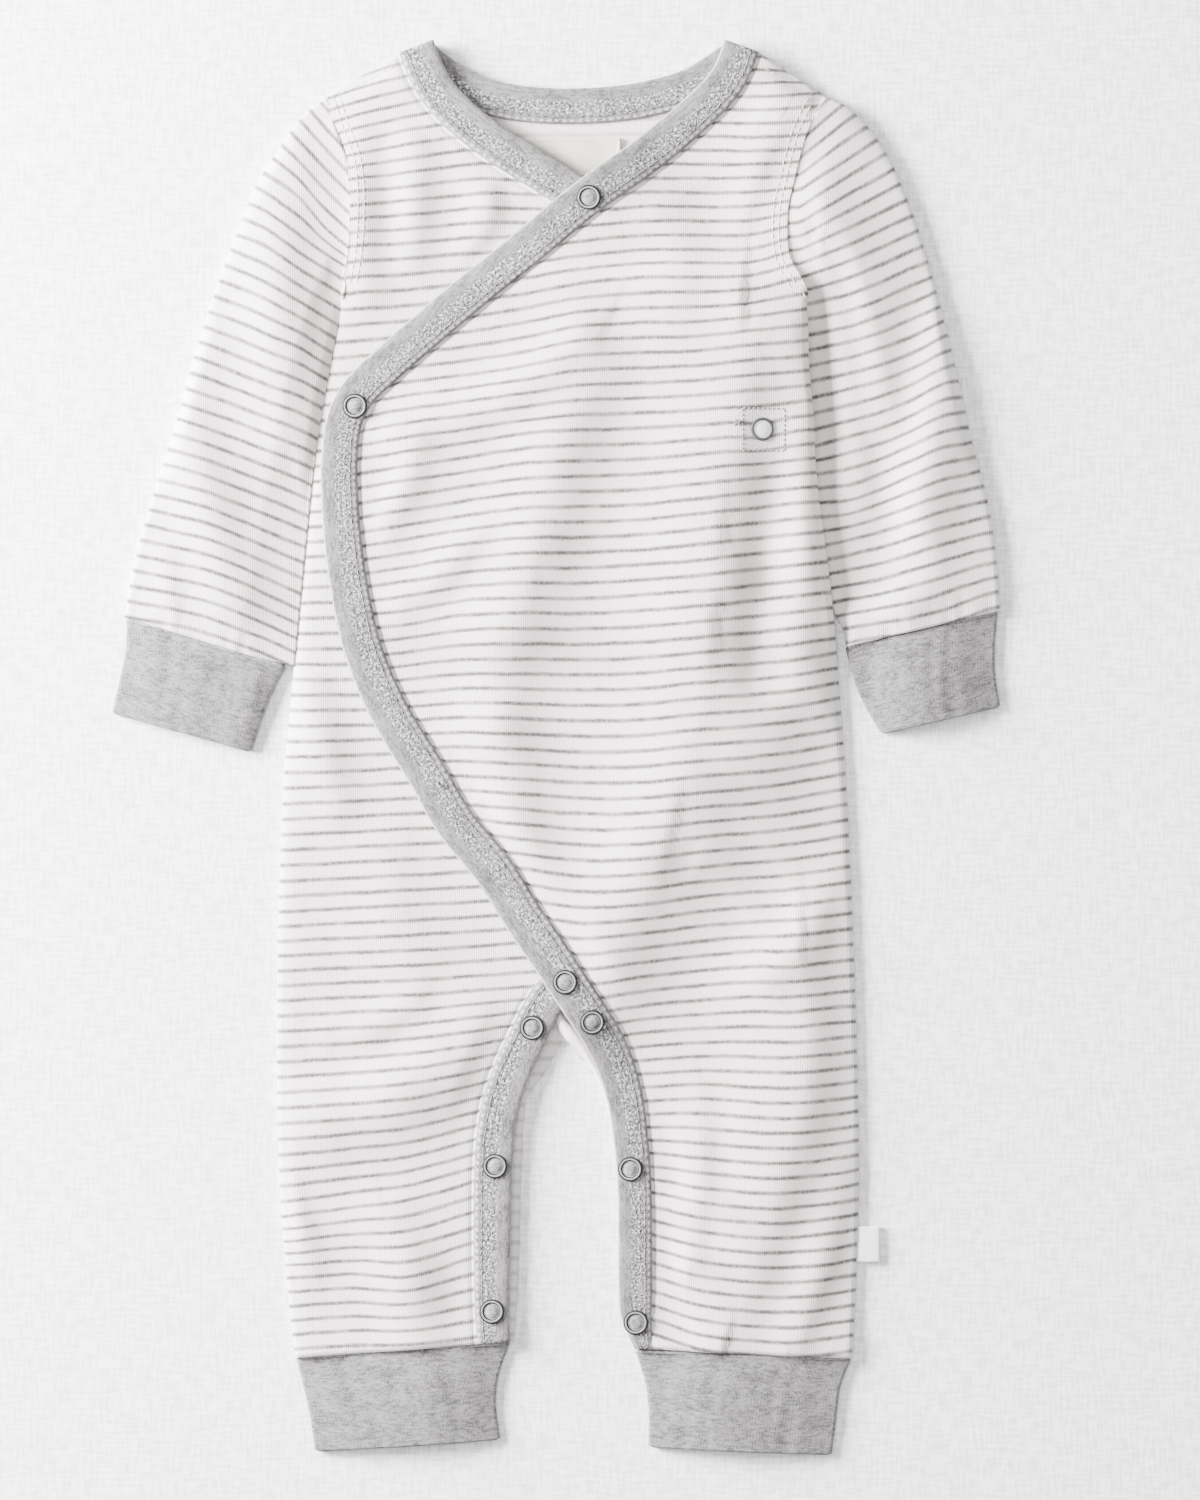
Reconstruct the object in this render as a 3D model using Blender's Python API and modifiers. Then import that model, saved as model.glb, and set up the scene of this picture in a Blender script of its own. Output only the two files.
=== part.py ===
"""A footless kimono-wrap sleepsuit for a baby, laid out flat on a surface.

+Z up, the neck towards +Y, the wearer's left towards +X, sizes in millimetres until they
become mesh points. The back lies on the surface. The wearer's right front lies on the back
and the wearer's left front wraps over it. Every piece of cloth is a shell made from its own
outline and from one height rule for the layer it belongs to.
"""

import math
from collections import namedtuple

import bpy
from mathutils import Vector

MM = 0.001

# Cloth and how its layers lie on each other, in millimetres.
WALL = 1.0                 # striped interlock and the binding's plies
CUFF_WALL = 1.4            # doubled rib
GAP = 0.3                  # between pieces at seams and between plies
PLY = WALL + GAP
FRONT_LEVEL = 2 * PLY      # underside of a front that lies on the back, over its binding's ply
LAYER_RISE = 2 * PLY       # how much higher a front lies where another front is beneath it
EDGE_LEVEL = PLY + 0.15    # underside of a front where it is sewn to the back
SIDE_ROLL = 8.0            # a front rounds down to the side seam over this width
EDGE_INSET = 2.0           # a panel's raw edge, in from the fold of its binding
NECK_INSET = 3.2           # the back's raw edge, in from the fold of the neck's binding
SEAM_INSET = 0.6           # a front's edge, in from the side seam
ARMHOLE_GAP = 0.6          # a sleeve's edge, out from the armhole

# Widths of the slopes where cloth comes down from what lies beneath it.
NECK_REACH = 4.0
NECK_RUN = 45.0
BACK_NECK_RUN = 25.0
WRAP_RUN = 36.0
CROSSING_REACH = 13.0
CROSSING_RUN = 30.0
COVER_REACH = 7.0
COVER_RUN = 14.0

# Shoulders and underarms.
SHOULDER_TIP = {"right": (-91.4, 260.4), "left": (106.2, 260.4)}
NECK_TIP = {"right": (-50.6, 281.2), "left": (68.6, 281.2)}
UNDERARM_Y = 179.2
ARMHOLE_SPANS = 8

Point = namedtuple("Point", "x y")
Band = namedtuple("Band", "x y width")
Section = namedtuple("Section", "outer_x outer_y inner_x inner_y height")
Fold = namedtuple("Fold", "x0 y0 x1 y1 width height")
Snap = namedtuple("Snap", "name x y layer")

# The armhole and side seam, from the shoulder's tip to the ankle.
SIDE_RIGHT = [
    Point(-91.4, 260.4), Point(-87.4, 247.2), Point(-83.8, 238.4), Point(-81.8, 229.2),
    Point(-81.2, 213.0), Point(-82.6, 196.0), Point(-85.8, 179.2), Point(-90.6, 153.2),
    Point(-94.6, 131.2), Point(-97.8, 107.2), Point(-102.6, 59.2), Point(-106.2, 19.2),
    Point(-109.4, -20.8), Point(-111.4, -80.8), Point(-111.6, -140.8), Point(-110.2, -180.8),
    Point(-107.0, -220.8), Point(-104.4, -243.4),
]
SIDE_LEFT = [
    Point(106.2, 260.4), Point(99.4, 247.2), Point(96.6, 238.4), Point(93.6, 226.0),
    Point(91.0, 213.0), Point(91.8, 196.0), Point(99.6, 179.2), Point(101.0, 153.2),
    Point(103.0, 131.2), Point(104.2, 107.2), Point(110.2, 59.2), Point(113.4, 19.2),
    Point(116.2, -20.8), Point(118.8, -80.8), Point(120.6, -140.8), Point(120.8, -180.8),
    Point(119.4, -220.8), Point(118.2, -243.7),
]

# The folded edge of each front's binding, from the shoulder along the neck, the wrap and the
# inner leg, with the binding's width. The right front's runs under the left front from the
# neck to the crotch.
EDGE_OVER = [
    Band(67.0, 282.4, 14.4), Band(62.2, 270.8, 14.6), Band(51.8, 259.6, 14.8),
    Band(31.4, 242.4, 15.0), Band(7.0, 224.8, 15.0), Band(-15.4, 206.4, 15.0),
    Band(-40.2, 186.0, 15.0), Band(-62.6, 166.8, 14.8), Band(-80.6, 150.4, 14.6),
    Band(-87.6, 141.2, 14.4), Band(-91.8, 130.4, 14.4), Band(-93.6, 117.0, 14.6),
    Band(-93.8, 103.2, 14.8), Band(-92.6, 83.2, 15.0), Band(-89.4, 59.2, 15.2),
    Band(-83.8, 35.2, 15.4), Band(-73.8, 11.2, 15.6), Band(-59.4, -12.8, 15.8),
    Band(-47.0, -34.4, 16.0), Band(-31.4, -53.6, 16.0), Band(-20.2, -71.6, 16.0),
    Band(-11.0, -84.8, 16.0), Band(-2.2, -98.0, 15.8), Band(12.2, -120.4, 15.6),
    Band(19.0, -136.8, 14.8), Band(22.4, -154.0, 14.0), Band(24.4, -178.0, 13.6),
    Band(24.8, -220.8, 13.4), Band(27.6, -232.0, 10.6), Band(31.2, -239.8, 6.6),
]
EDGE_UNDER = [
    Band(-49.0, 282.4, 14.8), Band(-44.2, 270.8, 14.8), Band(-37.0, 261.0, 14.8),
    Band(-22.6, 248.8, 14.8), Band(-4.2, 237.2, 15.0), Band(9.0, 228.8, 15.0),
    Band(33.4, 210.4, 15.0), Band(57.4, 189.2, 15.0), Band(77.4, 169.2, 14.8),
    Band(86.4, 154.0, 14.6), Band(91.0, 139.0, 14.6), Band(93.0, 123.2, 14.6),
    Band(94.2, 103.2, 14.8), Band(94.2, 79.2, 15.0), Band(92.4, 55.2, 15.2),
    Band(88.6, 31.2, 15.4), Band(79.4, 5.2, 15.6), Band(64.6, -20.8, 15.8),
    Band(48.6, -44.8, 15.8), Band(31.0, -70.8, 15.6), Band(17.4, -88.8, 15.2),
    Band(2.4, -104.8, 14.8), Band(-5.4, -120.0, 14.8), Band(-11.4, -133.2, 15.0),
    Band(-15.8, -149.2, 15.2), Band(-17.6, -168.4, 15.2), Band(-18.4, -200.4, 14.6),
    Band(-18.8, -222.4, 13.8), Band(-18.2, -237.0, 13.6),
]
EDGE_BACK_NECK = [
    Band(-49.4, 281.6, 14.4), Band(-38.0, 272.8, 14.4), Band(-26.6, 267.4, 14.4),
    Band(-12.0, 264.4, 14.4), Band(5.0, 263.6, 14.4), Band(21.4, 264.4, 14.4),
    Band(36.6, 266.8, 14.4), Band(51.8, 271.6, 14.4), Band(67.2, 281.6, 14.4),
]

# The inner edges of the back's legs, from the crotch to the ankle.
INNER_RIGHT = [
    Point(2.0, -117.6), Point(-6.6, -132.8), Point(-11.8, -139.0), Point(-13.2, -148.0),
    Point(-14.4, -180.0), Point(-15.2, -210.0), Point(-17.0, -237.6),
]
INNER_LEFT = [
    Point(4.0, -117.6), Point(12.4, -128.0), Point(18.2, -137.6), Point(23.0, -150.0),
    Point(26.0, -180.0), Point(26.4, -218.0), Point(31.8, -240.8),
]

# Flattened tubes: the two ends of each section across the tube and its height over all.
SLEEVE_RIGHT = [
    Section(-91.4, 260.4, -85.8, 179.2, 3.6), Section(-101.4, 252.6, -89.2, 174.4, 4.6),
    Section(-111.0, 239.4, -90.4, 165.0, 5.0), Section(-119.8, 225.0, -92.0, 153.2, 5.2),
    Section(-127.8, 205.6, -94.0, 140.0, 5.2), Section(-134.8, 187.2, -96.3, 126.4, 5.2),
    Section(-140.8, 169.2, -98.3, 111.6, 5.2), Section(-146.4, 150.4, -100.0, 96.8, 5.2),
    Section(-152.0, 130.4, -101.5, 81.6, 5.0), Section(-158.0, 111.0, -103.0, 66.4, 5.0),
    Section(-164.0, 91.6, -104.5, 52.0, 4.8), Section(-169.6, 70.0, -106.0, 40.8, 4.6),
    Section(-172.6, 52.2, -108.2, 32.6, 4.2),
]
SLEEVE_LEFT = [
    Section(106.2, 260.4, 99.6, 179.2, 3.6), Section(115.6, 256.6, 102.4, 175.2, 4.6),
    Section(124.6, 248.0, 102.8, 166.8, 5.0), Section(133.0, 235.6, 102.8, 156.8, 5.2),
    Section(140.2, 219.2, 103.4, 144.4, 5.2), Section(146.4, 201.6, 104.1, 130.8, 5.2),
    Section(151.8, 182.8, 104.8, 116.4, 5.2), Section(156.8, 163.2, 105.9, 102.0, 5.2),
    Section(161.6, 142.8, 107.7, 88.0, 5.0), Section(166.6, 120.4, 109.6, 74.4, 5.0),
    Section(172.2, 99.6, 111.9, 61.6, 4.8), Section(175.8, 76.0, 114.0, 50.4, 4.6),
    Section(177.2, 54.8, 115.8, 40.4, 4.2),
]
CUFF_SECTIONS = {
    "cuff_wrist_right": [
        Section(-171.9, 51.2, -108.1, 31.7, 4.2), Section(-172.2, 39.8, -111.8, 25.0, 5.0),
        Section(-174.6, 27.6, -116.2, 15.0, 5.0), Section(-177.7, 13.8, -121.8, -1.8, 4.6),
    ],
    "cuff_wrist_left": [
        Section(176.4, 54.0, 115.6, 39.6, 4.2), Section(175.4, 42.0, 118.2, 29.6, 5.0),
        Section(175.4, 30.0, 122.6, 18.0, 5.0), Section(177.5, 16.4, 130.0, 5.4, 4.6),
    ],
    "cuff_ankle_right": [
        Section(-104.0, -244.0, -18.6, -238.0, 4.2), Section(-101.4, -254.4, -23.0, -250.4, 5.0),
        Section(-98.6, -266.8, -24.2, -262.0, 5.0), Section(-96.6, -281.2, -22.4, -276.4, 4.6),
    ],
    "cuff_ankle_left": [
        Section(117.8, -244.4, 31.6, -241.4, 4.2), Section(113.6, -255.2, 35.2, -252.8, 5.0),
        Section(112.0, -267.6, 36.8, -264.6, 5.0), Section(110.0, -282.6, 36.8, -279.4, 4.6),
    ],
}

# The largest folds, as soft ridges: the ends of each crest, its half width and its height.
FOLDS_UNDER = [
    Fold(-73.6, 246.0, -70.0, 182.0, 9.0, 1.6), Fold(-51.6, 240.0, -50.6, 194.0, 9.0, 1.6),
    Fold(-92.6, -153.0, -44.0, -124.0, 15.0, 2.6), Fold(-66.0, -192.0, -53.0, -232.0, 14.0, 2.2),
    Fold(-70.0, -42.0, -60.0, -80.0, 15.0, 1.2), Fold(-98.0, 10.0, -95.0, -40.0, 12.0, 1.2),
]
FOLDS_OVER = [
    Fold(99.0, 238.0, 99.0, 190.0, 20.0, 2.4),
    Fold(4.4, 180.0, -7.0, 96.0, 20.0, 2.8), Fold(-7.6, 76.0, 0.4, 4.0, 20.0, 2.8),
    Fold(84.4, 25.0, 24.0, -56.0, 19.0, 2.8), Fold(90.0, 226.0, 76.6, 124.0, 13.0, 1.5),
    Fold(72.4, 108.0, 73.0, 28.0, 10.0, 1.6), Fold(-28.6, 74.0, -21.0, 14.0, 10.0, 1.2),
    Fold(-46.6, 110.0, -58.0, 82.0, 10.0, 1.2), Fold(97.0, -118.0, 76.0, -212.0, 16.0, 2.6),
    Fold(113.0, -150.0, 103.0, -226.0, 9.0, 1.4), Fold(52.0, -86.0, 90.0, -92.0, 13.0, 1.2),
]
FOLDS_SLEEVE_RIGHT = [
    Fold(-111.6, 224.0, -104.6, 164.0, 12.0, 1.6), Fold(-145.0, 146.0, -132.0, 56.0, 12.0, 1.4),
]
FOLDS_SLEEVE_LEFT = [
    Fold(104.0, 166.0, 110.0, 96.0, 13.0, 1.5), Fold(152.0, 168.0, 139.0, 74.0, 13.0, 1.8),
]

# Ring snaps.
SNAP_RADIUS = 5.0
SNAP_BORE = 3.3
SNAP_HEIGHT = 1.1
SNAPS = [
    Snap("snap_neck", 12.8, 219.2, "over_band"), Snap("snap_wrap", -80.2, 136.0, "over_band"),
    Snap("snap_crotch", 3.4, -93.2, "over_band"),
    Snap("snap_leg_left_top", 14.2, -109.2, "over_band"),
    Snap("snap_leg_left_mid", 29.4, -168.0, "over_band"),
    Snap("snap_leg_left_ankle", 31.6, -229.2, "over_band"),
    Snap("snap_leg_right_top", -9.8, -111.6, "under_band"),
    Snap("snap_leg_right_mid", -24.6, -166.8, "under_band"),
    Snap("snap_leg_right_ankle", -25.8, -224.8, "under_band"),
    Snap("snap_inner_white", 81.8, 126.8, "over_panel"),
]

# Bare labels.
NECK_LABEL = {"left": -16.6, "right": 25.8, "top": 243.6, "bottom": 228.4}
SIDE_TAB = {"left": 120.6, "right": 129.6, "top": -191.2, "bottom": -205.6}

# Linear colours, roughness and metallic values.
CREAM = ((0.86, 0.84, 0.81, 1.0), 0.9, 0.0)
HEATHER = ((0.47, 0.46, 0.46, 1.0), 0.92, 0.0)
SNAP_GREY = ((0.36, 0.36, 0.37, 1.0), 0.45, 0.0)
SNAP_WHITE = ((0.80, 0.80, 0.79, 1.0), 0.4, 0.0)
LABEL_CREAM = ((0.78, 0.75, 0.68, 1.0), 0.75, 0.0)
TAB_WHITE = ((0.85, 0.85, 0.84, 1.0), 0.6, 0.0)


# ---------------------------------------------------------------- lines in the plane

def lerp(a, b, t):
    """Value between a and b."""
    return a + (b - a) * t


def smooth_line(rows, step):
    """A Catmull-Rom curve through rows of any named columns, about step mm a span."""
    kind = type(rows[0])
    out = []
    for i in range(len(rows) - 1):
        p0, p1 = rows[max(i - 1, 0)], rows[i]
        p2, p3 = rows[i + 1], rows[min(i + 2, len(rows) - 1)]
        spans = max(1, round(math.dist(p1[:2], p2[:2]) / step))
        for k in range(spans):
            t = k / spans
            out.append(kind(*(
                0.5 * (2 * b + (c - a) * t + (2 * a - 5 * b + 4 * c - d) * t * t
                       + (3 * b - a - 3 * c + d) * t ** 3)
                for a, b, c, d in zip(p0, p1, p2, p3))))
    out.append(rows[-1])
    return out


def inward(line, i):
    """Unit vector at point i, to the right of the line's run or to its left, in the cloth."""
    a, b = line[max(i - 1, 0)], line[min(i + 1, len(line) - 1)]
    run = math.hypot(b.x - a.x, b.y - a.y)
    return (b.y - a.y) / run, -(b.x - a.x) / run


def moved_in(line, distance, side):
    """The line moved distance mm to one side of its run, 1 or -1."""
    out = []
    for i, p in enumerate(line):
        nx, ny = inward(line, i)
        out.append(Point(p.x + nx * distance * side, p.y + ny * distance * side))
    return out


def x_at(line, y):
    """Where a line that falls from its start to its end crosses a height y."""
    if y >= line[0].y:
        return line[0].x
    for a, b in zip(line, line[1:]):
        if a.y >= y >= b.y and a.y > b.y:
            return lerp(a.x, b.x, (a.y - y) / (a.y - b.y))
    return line[-1].x


def y_at(line, x):
    """Where a line that runs towards +X crosses a place x."""
    if x <= line[0].x:
        return line[0].y
    for a, b in zip(line, line[1:]):
        if a.x <= x <= b.x and b.x > a.x:
            return lerp(a.y, b.y, (x - a.x) / (b.x - a.x))
    return line[-1].y


def distance_to(line, x, y):
    """Shortest distance from a point to a line of points."""
    best = math.inf
    for a, b in zip(line, line[1:]):
        dx, dy = b.x - a.x, b.y - a.y
        span = dx * dx + dy * dy
        t = 0.0 if span == 0 else max(0.0, min(1.0, ((x - a.x) * dx + (y - a.y) * dy) / span))
        best = min(best, math.hypot(x - a.x - t * dx, y - a.y - t * dy))
    return best


def ease(t):
    """Smooth step from 0 to 1."""
    t = max(0.0, min(1.0, t))
    return t * t * (3 - 2 * t)


def fade(distance, reach, run):
    """1 within reach, falling smoothly to 0 over run."""
    return 1 - ease((distance - reach) / run)


# ---------------------------------------------------------------- the layers' heights

OVER_LINE = smooth_line(EDGE_OVER, 15.0)
UNDER_LINE = smooth_line(EDGE_UNDER, 15.0)
BACK_NECK_LINE = smooth_line(EDGE_BACK_NECK, 9.0)
NECK_CUT = moved_in(BACK_NECK_LINE, NECK_INSET, 1)
NECK_MIDDLE = moved_in(BACK_NECK_LINE, EDGE_BACK_NECK[0].width / 2, 1)
NECK_CROSSING = Point(4.6, 222.0)
CROTCH_CROSSING = Point(3.0, -94.0)
SHOULDERS = {
    side: [Point(*NECK_TIP[side]), Point(*SHOULDER_TIP[side])] for side in ("right", "left")
}
SIDES = {"right": SIDE_RIGHT, "left": SIDE_LEFT}


def neck_lift(x, y):
    """How far the fronts are lifted by the back of the neck's binding."""
    distance = distance_to(NECK_MIDDLE, x, y) - EDGE_BACK_NECK[0].width / 2
    return LAYER_RISE * fade(distance, NECK_REACH, NECK_RUN)


def on_under(x, y):
    """1 where the right front lies beneath, falling to 0 past its edge."""
    if x <= x_at(UNDER_LINE, y):
        return 1.0
    return fade(distance_to(UNDER_LINE, x, y), 0.5, WRAP_RUN)


def crossing_lift(x, y):
    """The extra rise where the two bindings cross."""
    near = min(math.dist((x, y), NECK_CROSSING), math.dist((x, y), CROTCH_CROSSING))
    return (PLY + 0.1) * fade(near, CROSSING_REACH, CROSSING_RUN)


def folds(rows, x, y):
    """The height of the folds at a place."""
    total = 0.0
    for f in rows:
        d = distance_to((Point(f.x0, f.y0), Point(f.x1, f.y1)), x, y)
        total += f.height * fade(d, 0.0, 1.7 * f.width)
    return total


def rolled(level, x, y, side, band_line):
    """A front's level brought down to the back along the side seam and the shoulder."""
    edge_x = x_at(SIDES[side], y)
    to_side = abs(x - edge_x)
    below_arm = ease((UNDERARM_Y + 2.0 - y) / 16.0)
    side_roll = lerp(1.0, math.sin(0.5 * math.pi * min(1.0, to_side / SIDE_ROLL)), below_arm)
    to_shoulder = distance_to(SHOULDERS[side], x, y)
    by_neck = fade(distance_to(band_line, x, y), 15.5, 16.0)
    shoulder_roll = math.sin(0.5 * math.pi * min(1.0, to_shoulder / SIDE_ROLL))
    shoulder_roll = lerp(shoulder_roll, 1.0, by_neck)
    return EDGE_LEVEL + (level - EDGE_LEVEL) * side_roll * shoulder_roll


def clear_of_edge(line, x, y):
    """0 under a binding, rising to 1 away from it, so that folds leave the binding alone."""
    return ease((distance_to(line, x, y) - 16.0) / 18.0)


def clear_of_over(x, y):
    """1 where the left front doesn't cover the right one, falling to 0 under its binding."""
    return ease((x_at(OVER_LINE, y) - x - COVER_REACH) / COVER_RUN)


def under_height(x, y):
    """Underside of the right front."""
    level = FRONT_LEVEL + neck_lift(x, y)
    shown = clear_of_edge(UNDER_LINE, x, y) * clear_of_over(x, y)
    level += folds(FOLDS_UNDER, x, y) * shown
    return rolled(level, x, y, "right", UNDER_LINE)


def over_height(x, y):
    """Underside of the left front."""
    level = FRONT_LEVEL + neck_lift(x, y) + LAYER_RISE * on_under(x, y) + crossing_lift(x, y)
    level += folds(FOLDS_OVER, x, y) * clear_of_edge(OVER_LINE, x, y)
    return rolled(level, x, y, "left", OVER_LINE)


def back_height(x, y):
    """Underside of the back: flat, but raised over the lower ply of the neck's binding."""
    distance = distance_to(NECK_MIDDLE, x, y) - EDGE_BACK_NECK[0].width / 2
    return PLY * fade(distance, NECK_REACH, BACK_NECK_RUN)


# ---------------------------------------------------------------- making objects

def clear_scene():
    """Remove what a new file holds."""
    for item in list(bpy.data.objects):
        bpy.data.objects.remove(item, do_unlink=True)


def finish_for(name, look):
    """A material with one colour, roughness and metallic value."""
    colour, roughness, metallic = look
    material = bpy.data.materials.new(name)
    material.use_nodes = True
    shader = material.node_tree.nodes["Principled BSDF"]
    shader.inputs["Base Color"].default_value = colour
    shader.inputs["Roughness"].default_value = roughness
    shader.inputs["Metallic"].default_value = metallic
    return material


def add_object(collection, name, points, faces, look):
    """An object from points in millimetres."""
    mesh = bpy.data.meshes.new(name)
    mesh.from_pydata([(x * MM, y * MM, z * MM) for x, y, z in points], [], faces)
    mesh.validate()
    mesh.shade_smooth()
    item = bpy.data.objects.new(name, mesh)
    item.data.materials.append(finish_for(name, look))
    collection.objects.link(item)
    return item


def thicken(item, wall, offset, even=True):
    """Give an open surface its wall: offset 1 grows along the normals, -1 against them."""
    shell = item.modifiers.new("wall", "SOLIDIFY")
    shell.thickness = wall * MM
    shell.offset = offset
    shell.use_even_offset = even
    shell.use_rim = True


def grid_faces(rows, columns, skip=()):
    """Quads of a grid of points, but for the columns that skip names at a row."""
    faces = []
    for r in range(rows - 1):
        for c in range(columns - 1):
            if (r, c) in skip:
                continue
            a = r * columns + c
            faces.append((a, a + columns, a + columns + 1, a + 1))
    return faces


# ---------------------------------------------------------------- panels

BACK_SPANS_BELOW = 12
FRONT_COLUMNS = (
    0.08, 0.16, 0.25, 0.34, 0.43, 0.52, 0.61, 0.7, 0.78, 0.85, 0.91, 0.95, 0.98, 1.0)
BACK_TOP = {
    "right": (-91.4, -78.0, -65.4, -53.6, -42.0, -30.0, -16.0, -2.0),
    "left": (106.2, 93.0, 81.4, 71.4, 57.0, 42.0, 27.0, 12.0),
}


def matched(y, start, end, seam):
    """The seam's height that goes with a height y on a line that falls from start to end."""
    if y >= UNDERARM_Y:
        return lerp(UNDERARM_Y, seam[0].y, (y - UNDERARM_Y) / (start - UNDERARM_Y))
    return lerp(UNDERARM_Y, seam[-1].y, (UNDERARM_Y - y) / (UNDERARM_Y - end))


def front_panel(collection, name, side, line, turn, height):
    """A front: square to its binding across the binding, then on to the side seam."""
    seam = SIDES[side]
    points = []
    for i, p in enumerate(line):
        nx, ny = inward(line, i)
        row = [Point(p.x + nx * across * turn, p.y + ny * across * turn)
               for across in (EDGE_INSET, 0.5 * p.width, p.width)]
        seam_y = matched(p.y, line[0].y, line[-1].y, seam)
        seam_x = x_at(seam, seam_y)
        seam_x -= math.copysign(SEAM_INSET, seam_x)
        start = row[-1]
        row += [Point(lerp(start.x, seam_x, u), lerp(start.y, seam_y, u)) for u in FRONT_COLUMNS]
        points += [(q.x, q.y, height(q.x, q.y)) for q in row]
    faces = grid_faces(len(line), len(points) // len(line))
    if turn == 1:
        faces = [tuple(reversed(f)) for f in faces]
    item = add_object(collection, name, points, faces, CREAM)
    thicken(item, WALL, 1.0)
    return item


def back_top(x):
    """The back's upper edge: shoulder, neck and shoulder."""
    for side in ("right", "left"):
        neck, tip = SHOULDERS[side]
        if min(neck.x, tip.x) <= x <= max(neck.x, tip.x):
            return lerp(neck.y, tip.y, (x - neck.x) / (tip.x - neck.x))
    return y_at(NECK_CUT, x)


def back_half(r, heights, side, inner):
    """Points of one half of the back at a section, from its side seam to its inner line."""
    top = BACK_TOP[side]
    at_crotch = heights[r] >= inner[0].y > heights[min(r + 1, len(heights) - 1)]
    inner_y = inner[0].y if at_crotch else max(heights[r], inner[-1].y)
    above = max(0.0, heights[r] - inner[0].y) / (heights[0] - inner[0].y)
    inner_x = lerp(x_at(inner, inner_y), top[-1], above)
    seam_x = x_at(SIDES[side], heights[r])
    points = []
    for x_top in top:
        u = (x_top - top[0]) / (top[-1] - top[0])
        x = lerp(seam_x, inner_x, u)
        y = lerp(heights[r], inner_y, u)
        if r < ARMHOLE_SPANS:
            y = lerp(back_top(x_top), UNDERARM_Y, r / ARMHOLE_SPANS)
        points.append((x, y, back_height(x, y)))
    return points


def section_heights(seam):
    """Heights of the back's sections at a side: shoulder to underarm, then to the ankle."""
    upper = [lerp(seam[0].y, UNDERARM_Y, k / ARMHOLE_SPANS) for k in range(ARMHOLE_SPANS)]
    lower = [lerp(UNDERARM_Y, seam[-1].y, k / BACK_SPANS_BELOW)
             for k in range(BACK_SPANS_BELOW + 1)]
    return upper + lower


def back_panel(collection):
    """The back of the body and both legs, one piece that parts at the crotch."""
    right_y, left_y = section_heights(SIDE_RIGHT), section_heights(SIDE_LEFT)
    half = len(BACK_TOP["right"])
    points, parted = [], set()
    for r in range(len(right_y)):
        points += back_half(r, right_y, "right", INNER_RIGHT)
        points += reversed(back_half(r, left_y, "left", INNER_LEFT))
        if right_y[min(r + 1, len(right_y) - 1)] < INNER_RIGHT[0].y:
            parted.add((r, half - 1))
    faces = grid_faces(len(right_y), 2 * half, parted)
    item = add_object(collection, "back_panel", points, faces, CREAM)
    thicken(item, WALL, 1.0)
    return item


# ---------------------------------------------------------------- bindings

def binding(collection, name, line, side, height):
    """A strip folded over a panel's edge: a U-shaped section carried along the fold."""
    points = []
    for i, p in enumerate(line):
        nx, ny = inward(line, i)
        profile = (
            (p.width, -PLY), (0.5 * p.width, -PLY), (1.5, -PLY), (0.35, -0.75), (0.0, 0.5 * WALL),
            (0.35, 0.75 + WALL), (1.5, WALL + PLY), (0.5 * p.width, WALL + PLY),
            (p.width, WALL + PLY),
        )
        for across, up in profile:
            x, y = p.x + nx * across * side, p.y + ny * across * side
            points.append((x, y, height(x, y) + up))
    faces = grid_faces(len(line), 9)
    if side == 1:
        faces = [tuple(reversed(f)) for f in faces]
    item = add_object(collection, name, points, faces, HEATHER)
    thicken(item, WALL, -1.0)
    return item


# ---------------------------------------------------------------- tubes

ROUND = (0.3 * math.pi, 0.5 * math.pi, 0.7 * math.pi)


def tube_ring(width, height):
    """Fractions across a flattened tube and heights of its outside, once round."""
    edge = 0.62 * height / width
    across = [edge] + [k / ARMHOLE_SPANS for k in range(1, ARMHOLE_SPANS)] + [1 - edge]
    ring = [(u, 0.0) for u in across]
    ring += [(1 - edge + edge * math.sin(a), 0.5 * height * (1 - math.cos(a))) for a in ROUND]
    ring += [(u, height) for u in reversed(across)]
    ring += [(edge - edge * math.sin(a), 0.5 * height * (1 + math.cos(a))) for a in ROUND]
    return ring


def armhole_point(seam, u):
    """A point on the armhole, from the shoulder's tip at 0 to the underarm at 1."""
    y = lerp(seam[0].y, UNDERARM_Y, u)
    return x_at(seam, y), y


def turn_along_run(first, following):
    """Positive where a tube's ring turns by the right hand about the tube's run."""
    first = [Vector(p) for p in first]
    run = sum((Vector(p) for p in following), Vector()) - sum(first, Vector())
    turn = Vector()
    for a, b in zip(first, first[1:] + first[:1]):
        turn += (a - first[0]).cross(b - first[0])
    return turn.dot(run)


def tube(collection, name, sections, look, wall, fold_rows=(), seam=None):
    """A flattened tube through sections, its underside flat on the surface."""
    points = []
    for k, s in enumerate(sections):
        width = math.hypot(s.inner_x - s.outer_x, s.inner_y - s.outer_y)
        bow = max(0.0, 1 - k / 2.2) ** 2
        for u, z in tube_ring(width, s.height):
            x, y = lerp(s.outer_x, s.inner_x, u), lerp(s.outer_y, s.inner_y, u)
            if seam:
                line_x = lerp(seam[0].x, x_at(seam, UNDERARM_Y), u)
                x += (armhole_point(seam, u)[0] - line_x) * bow
                x += math.copysign(ARMHOLE_GAP, x) if k == 0 else 0.0
            if z > 0.9 * s.height:
                z += folds(fold_rows, x, y)
            points.append((x, y, z))
    count = len(points) // len(sections)
    faces = []
    for r in range(len(sections) - 1):
        for c in range(count):
            a, b = r * count + c, r * count + (c + 1) % count
            faces.append((a, b, b + count, a + count))
    if turn_along_run(points[:count], points[count:2 * count]) < 0:
        faces = [tuple(reversed(f)) for f in faces]
    item = add_object(collection, name, points, faces, look)
    thicken(item, wall, -1.0, even=False)
    return item


# ---------------------------------------------------------------- snaps and labels

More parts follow.
